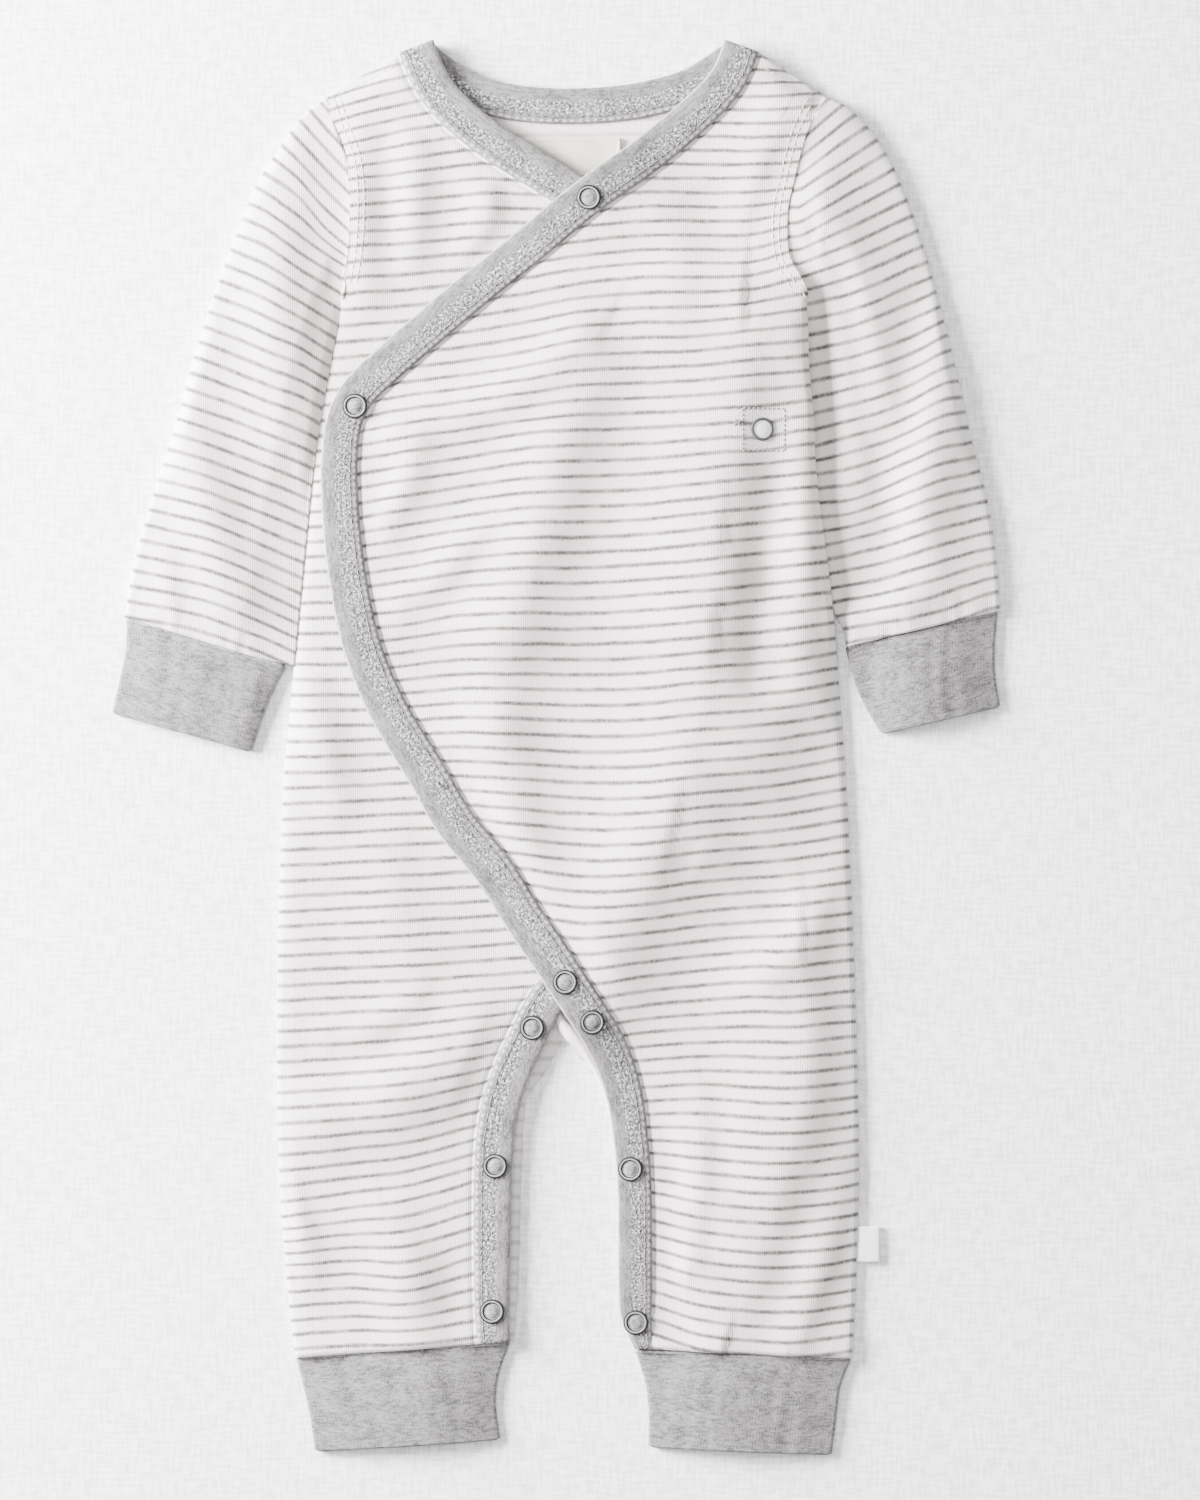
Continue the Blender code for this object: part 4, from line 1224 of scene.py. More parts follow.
@dataclass(frozen=True)
class WovenTape:
    """A bare woven tape."""

    name: str
    warp: Colour
    weft: Colour
    thread: float = 0.42

    def make(self) -> Material:
        """Build the material.

        Returns:
            The material.
        """
        g = Graph(self.name)
        along, across = g.cloth_map()
        weave = g.sine(along, self.thread) * g.sine(across, self.thread)
        cloud = g.noise(g.vector(along, across), 0.12, 3.0)
        slub = g.noise(g.vector(along * 0.3, across * 2.4), 1.0, 2.0)
        factor = g.ramp_up(weave * 0.18 + cloud * 0.5 + slub * 0.5, 0.3, 0.72)
        base = g.mix(factor, self.warp, self.weft)
        g.bump(weave * 0.5 + slub, 0.00009)
        return g.finish(base, 0.7, Sheen_Weight=0.08, Specular_IOR_Level=0.3)


@dataclass(frozen=True)
class PaleSurface:
    """The plain pale surface that the garment lies on."""

    tone: Colour = (0.99, 0.99, 0.995)
    shade: Colour = (0.72, 0.72, 0.725)

    def make(self) -> Material:
        """Build the material.

        Returns:
            The material.
        """
        g = Graph("pale_surface")
        x, y = g.parted(g.place(), 1 / MM)
        warp = g.noise(g.vector(x * 0.75, y * 0.12), 1.0, 2.0)
        weft = g.noise(g.vector(x * 0.12, y * 0.75, 5.0), 1.0, 2.0)
        weave = (warp + weft) * 0.5
        base = g.mix(g.ramp_up(weave, 0.38, 0.60), self.shade, self.tone)
        g.bump(weave, 0.0004, 0.5)
        return g.finish(base, 0.9, Specular_IOR_Level=0.1)


class Finishes:
    """Every material of the garment, made once."""

    def __init__(self) -> None:
        """Build the materials."""
        self.interlock = StripedInterlock().make()
        self.reverse = StripedInterlock("striped_reverse", strength=0.42).make()
        # Both bindings have a painted highlight along their folds. The over binding's is the
        # stronger one.
        self.binding_over = HeatherRib("heather_binding_over", edge=0.25, stitched=True).make()
        self.binding = HeatherRib("heather_binding", edge=0.1, stitched=True).make()
        self.cuff = HeatherRib("heather_cuff", rib=1.2, rib_depth=0.1).make()
        self.pressed_rib = HeatherRib("heather_in_snap", by_place=True, rib=0.9, grain=2.0,
                                      light=(0.34, 0.33, 0.33), dark=(0.07, 0.068, 0.07)).make()
        self.grey_thread = SewingThread("grey_thread", (0.38, 0.365, 0.365),
                                        (0.16, 0.155, 0.155)).make()
        self.cream_thread = SewingThread("cream_thread", (0.74, 0.70, 0.69),
                                         (0.52, 0.49, 0.48)).make()
        self.grey_enamel = EnamelledMetal(
            "grey_enamel", (0.24, 0.237, 0.24), (0.34, 0.336, 0.34), shine=0.2).make()
        # Dark slate painted as shade: the white snap's whole ring round its white cap.
        self.painted_shade_slate = EnamelledMetal(
            "painted_shade_slate", (0.070, 0.070, 0.071), (0.12, 0.12, 0.121), shine=0.08).make()
        # Near-black painted shade for the groove along the grey snaps' outer edge and round their
        # bores.
        self.painted_rim_shade = EnamelledMetal(
            "painted_rim_shade", (0.022, 0.022, 0.023), (0.048, 0.048, 0.049), shine=0.05).make()
        self.white_enamel = EnamelledMetal(
            "white_enamel", (0.90, 0.905, 0.90), (0.82, 0.83, 0.83)).make()
        self.label = WovenTape("label_tape", (0.66, 0.64, 0.57), (0.54, 0.52, 0.45)).make()
        self.tab = WovenTape("tab_tape", (0.90, 0.90, 0.89), (0.82, 0.82, 0.82)).make()


# ---------------------------------------------------------------- mesh making

def add_object(name: str, data: bpy.types.ID) -> Object:
    """Put new data into the scene as an object.

    Args:
        name: Its name.
        data: The mesh, light or camera.

    Returns:
        The object.
    """
    item = bpy.data.objects.new(name, data)
    bpy.context.scene.collection.objects.link(item)
    return item


def deselect() -> None:
    """Leave nothing selected."""
    for other in bpy.context.selected_objects:
        other.select_set(False)


def activate(item: Object) -> None:
    """Make one object the only selected and the active one.

    Args:
        item: The object.
    """
    deselect()
    item.select_set(True)
    bpy.context.view_layer.objects.active = item


def apply_modifiers(item: Object) -> None:
    """Apply an object's modifiers in order.

    Args:
        item: The object.
    """
    activate(item)
    for modifier in list(item.modifiers):
        bpy.ops.object.modifier_apply(modifier=modifier.name)


def declare(item: Object, nodes: Sequence[str] = ()) -> None:
    """Let a piece ride on the body and hide the nodes that it stands for.

    Args:
        item: The piece.
        nodes: The nodes that it stands for.
    """
    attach(item, BODY)
    if nodes:
        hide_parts(*nodes)


@dataclass
class Sheet:
    """A grid of cloth points with its cloth map, made into a shell.

    Attributes:
        name: The object's name.
        points: Rows by columns by x, y and z, in millimetres, on one face of the cloth.
        cloth: Rows by columns by the two numbers of the cloth map.
        wall: The cloth's thickness.
        grow: 1 where the wall grows along the normals, -1 against them.
        ring: Whether each row is closed round.
        upper_from: The first column of an open sheet's upper ply, which faces up.
        cut_after: The columns that part from the next one, each with the row it parts from.
    """

    name: str
    points: Array
    cloth: Array
    wall: float = WALL
    grow: float = 1.0
    ring: bool = False
    upper_from: int = 0
    cut_after: dict[int, int] = field(default_factory=dict)

    def faces(self) -> Array:
        """Quads of the grid, closed round on a ring and parted where cut_after says.

        Returns:
            Four point numbers for each face.
        """
        rows, columns = self.points.shape[:2]
        across = columns if self.ring else columns - 1
        r, c = np.meshgrid(np.arange(rows - 1), np.arange(across), indexing="ij")
        for column, first_row in self.cut_after.items():
            keep = ~((c == column) & (r >= first_row))
            r, c = r[keep], c[keep]
        r, c = r.ravel(), c.ravel()
        after = (c + 1) % columns
        return np.stack([r * columns + c, (r + 1) * columns + c, (r + 1) * columns + after,
                         r * columns + after], axis=1)

    def outward(self, faces: Array) -> Array:
        """Turn the faces so that an open sheet looks up and a ring looks out.

        Args:
            faces: The faces, all turned alike.

        Returns:
            The faces, turned over where they have to be.
        """
        flat = self.points.reshape(-1, 3)
        corners = flat[faces]
        normals = np.cross(corners[:, 2] - corners[:, 0], corners[:, 3] - corners[:, 1])
        if self.ring:
            rows = self.points.shape[0]
            middle = self.points.mean(axis=1)
            row_of = faces[:, 0] // self.points.shape[1]
            away = corners.mean(axis=1) - 0.5 * (middle[row_of] + middle[np.minimum(
                row_of + 1, rows - 1)])
            facing = float((normals * away).sum())
        else:
            upper = faces[:, 0] % self.points.shape[1] >= self.upper_from
            facing = float(normals[upper, 2].sum())
        return faces[:, ::-1] if facing < 0 else faces

    def make(self, material: Material, slot: str, nodes: Sequence[str] = ()) -> Object:
        """Args:
            material: The cloth's material.
            slot: Not used.
            nodes: The nodes that it stands for.

        Returns:
            The finished object.
        """
        faces = self.outward(self.faces())
        mesh = bpy.data.meshes.new(self.name)
        mesh.from_pydata((self.points.reshape(-1, 3) * MM).tolist(), [], faces.tolist())
        layer = mesh.uv_layers.new(name="cloth")
        flat = self.cloth.reshape(-1, 2)[faces.ravel()] / UV_SPAN
        layer.data.foreach_set("uv", flat.astype(np.float32).ravel())
        mesh.materials.append(material)
        mesh.shade_smooth()
        mesh.validate()
        item = add_object(self.name, mesh)
        shell = item.modifiers.new("wall", "SOLIDIFY")
        shell.thickness = self.wall * MM
        shell.offset = self.grow
        shell.use_rim = True
        apply_modifiers(item)
        declare(item, nodes)
        return item


@dataclass
class Threads:
    """Sewing threads gathered into one mesh.

    Attributes:
        name: The object's name.
        radius: The thread's radius.
        sides: Faces round a thread.
        points: The points so far, one array for each thread.
        faces: The faces so far.
        total: How many points there are.
    """

    name: str
    radius: float = 0.2
    sides: int = 5
    points: list[Array] = field(default_factory=list)
    faces: list[Array] = field(default_factory=list)
    total: int = 0

    def lay(self, path: Array) -> None:
        """Lay one thread along a path of x, y and z, in millimetres.

        Args:
            path: The thread's middle line.
        """
        run = np.gradient(path, axis=0)
        run /= np.linalg.norm(run, axis=1)[:, None]
        side = np.cross(run, np.array([0.0, 0.0, 1.0]))
        side /= np.linalg.norm(side, axis=1)[:, None]
        up = np.cross(side, run)
        turn = math.tau * np.arange(self.sides) / self.sides
        ring = (side[:, None, :] * np.cos(turn)[None, :, None]
                + up[:, None, :] * np.sin(turn)[None, :, None])
        rows = len(path)
        start = self.total
        self.points.append((path[:, None, :] + self.radius * ring).reshape(-1, 3))
        r, c = np.meshgrid(np.arange(rows - 1), np.arange(self.sides), indexing="ij")
        r, c = r.ravel(), c.ravel()
        after = (c + 1) % self.sides
        n = self.sides
        self.faces.append(start + np.stack(
            [r * n + c, r * n + after, (r + 1) * n + after, (r + 1) * n + c], axis=1))
        self.total += rows * n
        self.close(start, False)
        self.close(start + (rows - 1) * n, True)

    def close(self, first: int, forward: bool) -> None:
        """Close one end of a thread with a fan of triangles, held as quads till it is made.

        Args:
            first: The number of the first point of its end ring.
            forward: Whether the ring runs the face's way.
        """
        ring = first + np.arange(self.sides)
        order = ring if forward else ring[::-1]
        for k in range(1, self.sides - 1):
            self.faces.append(np.array([[order[0], order[k], order[k + 1], order[k + 1]]]))

    def make(self, material: Material, slot: str) -> Object:
        """Args:
            material: The thread's material.
            slot: Not used.

        Returns:
            The finished object.
        """
        points = np.vstack(self.points)
        faces = [tuple(dict.fromkeys(f)) for f in np.vstack(self.faces).tolist()]
        mesh = bpy.data.meshes.new(self.name)
        mesh.from_pydata((points * MM).tolist(), [], faces)
        mesh.materials.append(material)
        mesh.shade_smooth()
        item = add_object(self.name, mesh)
        declare(item)
        return item


def raised(plan: Array, z: Array) -> Array:
    """Places in the plane with their heights."""
    return np.concatenate([plan, z[..., None]], axis=-1)


def offset_line(line: Array, distance: float, turn: int) -> Array:
    """A line moved sideways by distance, to the right of its run where turn is 1."""
    return line[:, :2] + inward(line) * distance * turn


def resample(line: Array, step: float) -> Array:
    """Points at even steps along a line.

    Args:
        line: The line's points.
        step: The distance from one point to the next.

    Returns:
        The new points.
    """
    arc = arc_length(line)
    places = np.arange(0.0, arc[-1], step)
    return np.stack([np.interp(places, arc, line[:, k]) for k in range(line.shape[1])], axis=1)


# ---------------------------------------------------------------- the body's panels

@dataclass
class FrontPanel:
    """A front of the body with its leg, from its bound edge to the side seam.

    Attributes:
        name: The node that it stands for.
        side: The side of the wearer that its seam is on.
        edge: The folded edge of its binding.
        turn: 1 where the cloth lies to the right of the edge's run, -1 to its left.
        height: The rule for its underside.
        drape: Where its stripes run.
        hem: The hem's way at the ankle.
        flat: Its cut, over all, in metres. Not used.
        area: Its flat area, in square metres. Not used.
        station: The spacing of its points along the edge.
        band_columns: Its columns under the binding.
        groove_columns: Its columns beside the binding, by their distance from it.
        columns: Its columns from there to the seam.
        seam_tuck: How far in from the seam the curl starts.
        armhole_lap: How far it reaches past the armhole's seam.
        curl: The curl's steps out from there, each with its height over the surface.
        armhole_curl: The curl's step on the armhole.
    """

    name: str
    side: Side
    edge: Sequence[Band]
    turn: int
    height: HeightRule
    drape: Drape
    hem: tuple[float, float]
    flat: tuple[float, float]
    area: float
    station: float = 3.0
    band_columns: int = 6
    groove_columns: tuple[float, ...] = (0.5, 1.0, 1.6, 2.3, 3.2, 4.4)
    columns: int = 66
    seam_tuck: float = 1.2
    armhole_lap: float = 0.8
    curl: tuple[tuple[float, float], ...] = ((0.15, 1.2), (0.28, 0.7), (0.32, 0.15))
    armhole_curl: float = 0.12

    def seam_points(self, line: Array) -> tuple[Array, Array]:
        """The side seam's points that go with the points of the bound edge.

        Args:
            line: The bound edge's points.

        Returns:
            Their places across and along.
        """
        seam = LAYERS.seams[self.side]
        above = (line[:, 1] - UNDERARM_Y) / (line[0, 1] - UNDERARM_Y)
        below = (UNDERARM_Y - line[:, 1]) / (UNDERARM_Y - line[-1, 1])
        upper = UNDERARM_Y + (seam[0, 1] - UNDERARM_Y) * above
        lower = UNDERARM_Y + (seam[-1, 1] - UNDERARM_Y) * below
        y = np.where(line[:, 1] >= UNDERARM_Y, upper, lower)
        return x_at(seam, y), y

    def grid(self) -> Array:
        """The points of the underside, from the bound edge to the seam.

        Returns:
            Rows by columns by x, y and z.
        """
        line = smooth_line(self.edge, self.station)
        normal = across_edge(line, self.turn, self.hem)
        rows = []
        for part in np.linspace(0.0, 1.0, self.band_columns):
            across = EDGE_INSET + part * (line[:, 2] - EDGE_INSET)
            rows.append(line[:, :2] + normal * across[:, None])
        start = rows[-1]
        seam_x, seam_y = self.seam_points(line)
        below_arm = ease((UNDERARM_Y + 4.0 - seam_y) / 8.0)
        out = self.side.value
        edge_x = seam_x + out * (self.armhole_lap - (self.armhole_lap + self.seam_tuck)
                                 * below_arm)
        way = np.stack([edge_x, seam_y], axis=1) - start
        span = np.hypot(*way.T)
        last = self.groove_columns[-1]
        reaches = [step / np.maximum(span, 3 * last) for step in self.groove_columns]
        evenly = np.linspace(0.0, 1.0, self.columns + 1)[1:]
        reaches += [reaches[-1] + (1 - reaches[-1]) * part for part in evenly]
        rows += [start + way * reach[:, None] for reach in reaches]
        plan = np.stack(rows, axis=1)
        z = self.height(plan[..., 0], plan[..., 1])
        z = z + LAYERS.hem_lift(plan[..., 1], line[-1, 1] - 3.0)
        return self.with_curl(raised(plan, z), edge_x, seam_y, below_arm)

    def with_curl(self, points: Array, edge_x: Array, seam_y: Array, below_arm: Array) -> Array:
        """Carry the cloth round the side seam, down to the surface.

        Args:
            points: The underside so far.
            edge_x: Where it ends across.
            seam_y: Where it ends along.
            below_arm: 1 below the underarm and 0 on the armhole.

        Returns:
            The underside with the columns of the curl.
        """
        extra = []
        edge_z = points[:, -1, 2]
        for k, (reach, level) in enumerate(self.curl, start=1):
            step = reach * below_arm + self.armhole_curl * k * (1 - below_arm)
            z = edge_z + (level - edge_z) * below_arm
            extra.append(np.stack([edge_x + self.side.value * step, seam_y, z], axis=1))
        return np.concatenate([points, np.stack(extra, axis=1)], axis=1)

    def build(self, finishes: Finishes) -> Object:
        """Build and dress the panel.

        Args:
            finishes: The garment's materials.

        Returns:
            The finished object.
        """
        points = self.grid()
        x, y = points[..., 0], points[..., 1]
        away = np.hypot(x - SNAP_WHITE.x, y - SNAP_WHITE.y)
        dip = SQUARE_DIP * np.exp(-(away / SQUARE_REACH) ** 2) * (self.side is Side.LEFT)
        cloth = np.stack([x, self.drape.count(x, y + dip)], axis=2)
        sheet = Sheet(self.name, points, cloth)
        return sheet.make(finishes.interlock, "striped_interlock", [self.name])


@dataclass
class BackPanel:
    """The back of the body and both legs, one piece that parts at the crotch.

    Attributes:
        name: The node that it stands for.
        flat: Its cut, over all, in metres. Not used.
        area: Its flat area, in square metres. Not used.
        rows_above: Its sections above the underarm.
        rows_below: Its sections below.
        columns: Its points across one half.
        seam_tuck: How far in from the side seam it ends.
    """

    name: str = "back_panel"
    flat: tuple[float, float] = (0.233, 0.525)
    area: float = 0.104
    rows_above: int = 24
    rows_below: int = 110
    columns: int = 40
    seam_tuck: float = 1.7

    def heights(self, side: Side) -> Array:
        """Heights of the sections at a side.

        Args:
            side: The side of the wearer.

        Returns:
            The heights, from the shoulder down.
        """
        seam = SIDE_SEAM[side]
        upper = np.linspace(seam[0].y, UNDERARM_Y, self.rows_above, endpoint=False)
        lower = np.linspace(UNDERARM_Y, seam[-1].y, self.rows_below + 1)
        return np.concatenate([upper, lower])

    def top_edge(self, x: Array) -> Array:
        """The upper edge: shoulder, neck and shoulder.

        Args:
            x: Places across.

        Returns:
            The edge's places along.
        """
        neck = LAYERS.neck_line[:, :2] + inward(LAYERS.neck_line) * NECK_INSET
        y = np.interp(x, neck[:, 0], neck[:, 1])
        for side in Side:
            near, tip = NECK_TIP[side], SIDE_SEAM[side][0]
            share = (x - near.x) / (tip.x - near.x)
            y = np.where(share >= 0.0, near.y + (tip.y - near.y) * share, y)
        return y

    def half(self, side: Side) -> Array:
        """The plan of one half, from its side seam to its inner line.

        Args:
            side: The side of the wearer.

        Returns:
            Rows by columns by x and y.
        """
        top = np.interp(np.linspace(0, 7, self.columns), np.arange(8), BACK_TOP[side])
        heights, seam = self.heights(side), LAYERS.seams[side]
        inner = smooth_line(INNER_LEG[side], 4.0)
        rows = []
        for r, height in enumerate(heights):
            next_height = heights[min(r + 1, len(heights) - 1)]
            at_crotch = height >= inner[0, 1] > next_height
            inner_y = inner[0, 1] if at_crotch else max(height, inner[-1, 1])
            above = max(0.0, height - inner[0, 1]) / (heights[0] - inner[0, 1])
            inner_x = float(x_at(inner, inner_y)) * (1 - above) + top[-1] * above
            tuck = self.seam_tuck * float(ease((UNDERARM_Y - height) / 8.0))
            seam_x = float(x_at(seam, height)) - side.value * tuck
            part = (top - top[0]) / (top[-1] - top[0])
            x = seam_x + (inner_x - seam_x) * part
            y = height + (inner_y - height) * part
            if r < self.rows_above:
                edge = self.top_edge(top)
                y = edge + (UNDERARM_Y - edge) * (r / self.rows_above)
            rows.append(np.stack([x, y], axis=1))
        return np.stack(rows)

    def build(self, finishes: Finishes) -> Object:
        """Build and dress the panel.

        Args:
            finishes: The garment's materials.

        Returns:
            The finished object.
        """
        right, left = self.half(Side.RIGHT), self.half(Side.LEFT)
        plan = np.concatenate([right, left[:, ::-1]], axis=1)
        x, y = plan[..., 0], plan[..., 1]
        points = raised(plan, LAYERS.back(x, y))
        crotch = int(np.argmax(self.heights(Side.RIGHT) < INNER_LEG[Side.RIGHT][0].y)) - 1
        cloth = np.stack([x, DRAPE_BACK.count(x, y)], axis=2)
        sheet = Sheet(self.name, points, cloth, cut_after={self.columns - 1: crotch})
        return sheet.make(finishes.reverse, "striped_interlock", [self.name])


# ---------------------------------------------------------------- bindings

@dataclass
class Binding:
    """A rib strip folded over a panel's edge and coverstitched down.

    Attributes:
        name: The node that it stands for.
        edge: Its folded edge.
        turn: 1 where the cloth lies to the right of the edge's run, -1 to its left.
        height: The rule for the underside of the panel that it binds.
        hem: The hem's way at the ankle; both 0 where the edge has none.
        flat: Its cut, over all, in metres. Not used.
        area: Its flat area, in square metres. Not used.
        wear_and_painted_highlight: Whether its fold takes the stronger painted highlight.
        station: The spacing of its points along the fold.
        pucker: The height of the unevenness of its upper ply.
        fold_column: The last column of its profile on the lower ply.
        looper: The looper's threads: each one's share of the width and how far it wanders.
    """

    name: str
    edge: Sequence[Band]
    turn: int
    height: HeightRule
    hem: tuple[float, float]
    flat: tuple[float, float]
    area: float
    wear_and_painted_highlight: bool = False
    station: float = 2.5
    pucker: float = 0.09
    fold_column: int = 6
    looper: tuple[tuple[float, float], ...] = ((0.34, 0.3), (0.50, 0.9), (0.64, 0.9), (0.79, 0.2))

    def line(self) -> Array:
        """The folded edge as a fine line."""
        return smooth_line(self.edge, self.station)

    def profile(self, width: float) -> list[tuple[float, float]]:
        """The strip's outer face in section: distance in from the fold, and height.

        Args:
            width: The strip's width.

        Returns:
            Its points, from the lower ply to the upper one.
        """
        top = WALL + PLY
        return [
            (width, -PLY), (0.7 * width, -PLY), (0.4 * width, -PLY), (1.5, -PLY),
            (0.7, -1.05), (0.2, -0.55), (0.0, 0.5 * WALL), (0.15, 0.9 + WALL),
            (0.6, top - 0.12), (1.5, top + 0.10), (0.2 * width, top + 0.20),
            (0.33 * width, top + 0.14), (0.44 * width, top + 0.06), (0.6 * width, top),
            (0.78 * width, top - 0.08), (0.9 * width, top - 0.14), (width, top - 0.40),
        ]

    def top(self, x: Array, y: Array) -> Array:
        """The height of the strip's upper face, without its puff."""
        return self.height(x, y) + WALL + PLY

    def build(self, finishes: Finishes) -> Object:
        """Build and dress the strip.

        Args:
            finishes: The garment's materials.

        Returns:
            The finished object.
        """
        line = self.line()
        normal = across_edge(line, self.turn, self.hem)
        arc = arc_length(line)
        columns, cloth = [], []
        for k, (_, up) in enumerate(self.profile(STRIP)):
            reach = np.array([self.profile(width)[k][0] for width in line[:, 2]])
            plan = line[:, :2] + normal * reach[:, None]
            z = self.height(plan[:, 0], plan[:, 1]) + up
            if up > WALL:
                z = z + self.pucker * ripple(arc + 0.6 * reach, 5.5, 0.9)
            columns.append(raised(plan, z))
            share = STRIP * reach / line[:, 2]
            cloth.append(np.stack([arc, share if k > self.fold_column else -share], axis=1))
        sheet = Sheet(self.name, np.stack(columns, axis=1), np.stack(cloth, axis=1), WALL, -1.0,
                      upper_from=len(columns) // 2)
        material = finishes.binding_over if self.wear_and_painted_highlight else finishes.binding
        return sheet.make(material, "heather_rib", [self.name])

    def coverstitch(self, finishes: Finishes) -> Object:
        """The looper's threads that wander over the strip and hold it down.

        Args:
            finishes: The garment's materials.

        Returns:
            The finished object.
        """
        threads = Threads(f"{self.name}_stitches", 0.21, 4)
        fine = resample(self.line(), 0.6)
        normal = across_edge(fine, self.turn, self.hem)
        arc = arc_length(fine)
        for share, swing in self.looper:
            wander = swing * ripple(arc, 2.1, 7.0 * share) + 0.3 * ripple(arc, 1.3, share)
            across = fine[:, 2] * share + wander
            lift = -0.10 + 0.30 * ripple(arc, 1.7, 9.0 * share)
            threads.lay(self.on_top(fine, normal, across, lift))
        return threads.make(finishes.grey_thread, "heather_rib")

    def on_top(self, line: Array, normal: Array, across: Array, lift: Array) -> Array:
        """A path on the strip's upper face.

        Args:
            line: The folded edge.
            normal: Unit vectors from the fold into the cloth.
            across: Distances in from the fold.
            lift: Heights over the face.

        Returns:
            The path's x, y and z.
        """
        plan = line[:, :2] + normal * across[:, None]
        z = self.top(plan[:, 0], plan[:, 1]) + lift
        return raised(plan, z)


# ---------------------------------------------------------------- sleeves and cuffs

@dataclass
class FlatTube:
    """A flattened tube of cloth through sections, its underside flat on the surface.

    Attributes:
        name: The node that it stands for.
        sections: Its sections, along its run.
        slot: Its material slot.
        wall: Its cloth's thickness.
        flat: Its cut all round, over all, in metres. Not used.
        area: Its flat area, in square metres. Not used.
        step: The spacing of its sections.
        columns: Its points across one face.
        edge_share: How high its edges are, as a share of its height.
    """

    name: str
    sections: Sequence[Section]
    slot: str
    wall: float
    flat: tuple[float, float]
    area: float
    step: float = 2.5
    columns: int = 34
    edge_share: float = 0.7

    def ring(self, width: float, height: float) -> tuple[Array, Array]:
        """A section's shape: fractions across and heights, once round.

        Args:
            width: The section's width.
            height: Its height.

        Returns:
            Both, for each point.
        """
        low = self.edge_share * height
        edge = 0.55 * low / width
        flat = np.linspace(edge, 1 - edge, self.columns)
        turn = np.linspace(0.0, math.pi, 9)[1:-1]
        swell = np.sin(math.pi * (flat - edge) / (1 - 2 * edge))
        bulge = height * (self.edge_share + (1 - self.edge_share) * swell)
        across = np.concatenate([flat, 1 - edge + edge * np.sin(turn), flat[::-1],
                                 edge - edge * np.sin(turn)])
        up = np.concatenate([np.zeros(self.columns), 0.5 * low * (1 - np.cos(turn)),
                             bulge[::-1], 0.5 * low * (1 + np.cos(turn))])
        return across, up

    def shape(self, row: Array, k: int, u: Array, z: Array) -> tuple[Array, Array, Array]:
        """Place a section's points in the frame.

        Args:
            row: The section's two ends and its height.
            k: Its number from the start. Not used.
            u: How far across its points are, as shares of its width.
            z: Their heights.

        Returns:
            Their x, y and z.
        """
        x = row[0] + (row[2] - row[0]) * u
        y = row[1] + (row[3] - row[1]) * u
        return x, y, z

    def rows(self) -> Array:
        """The sections as fine rows of numbers."""
        return smooth_line(self.sections, self.step)

    def cloth(self, x: Array, y: Array, run: Array, round_way: Array) -> Array:
        """The cloth map of the tube."""
        return np.stack([round_way, run], axis=2)

    def grid(self) -> tuple[Array, Array]:
        """The tube's points and its cloth map.

        Returns:
            Both, in rows by columns.
        """
        points, run, way = [], [], []
        rows = self.rows()
        travelled = arc_length(0.5 * (rows[:, 0:2] + rows[:, 2:4]))
        for k, row in enumerate(rows):
            width = width_of(row)
            u, z = self.ring(width, row[4])
            points.append(np.stack(self.shape(row, k, u, z), axis=1))
            run.append(np.full(u.shape, travelled[k]))
            way.append(u * width)
        points = np.stack(points)
        cloth = self.cloth(points[..., 0], points[..., 1], np.stack(run), np.stack(way))
        return points, cloth

    def material(self, finishes: Finishes) -> Material:
        """The tube's material."""
        return finishes.cuff

    def build(self, finishes: Finishes) -> Object:
        """Build and dress the tube.

        Args:
            finishes: The garment's materials.

        Returns:
            The finished object.
        """
        points, cloth = self.grid()
        sheet = Sheet(self.name, points, cloth, self.wall, -1.0, ring=True)
        return sheet.make(self.material(finishes), self.slot, [self.name])


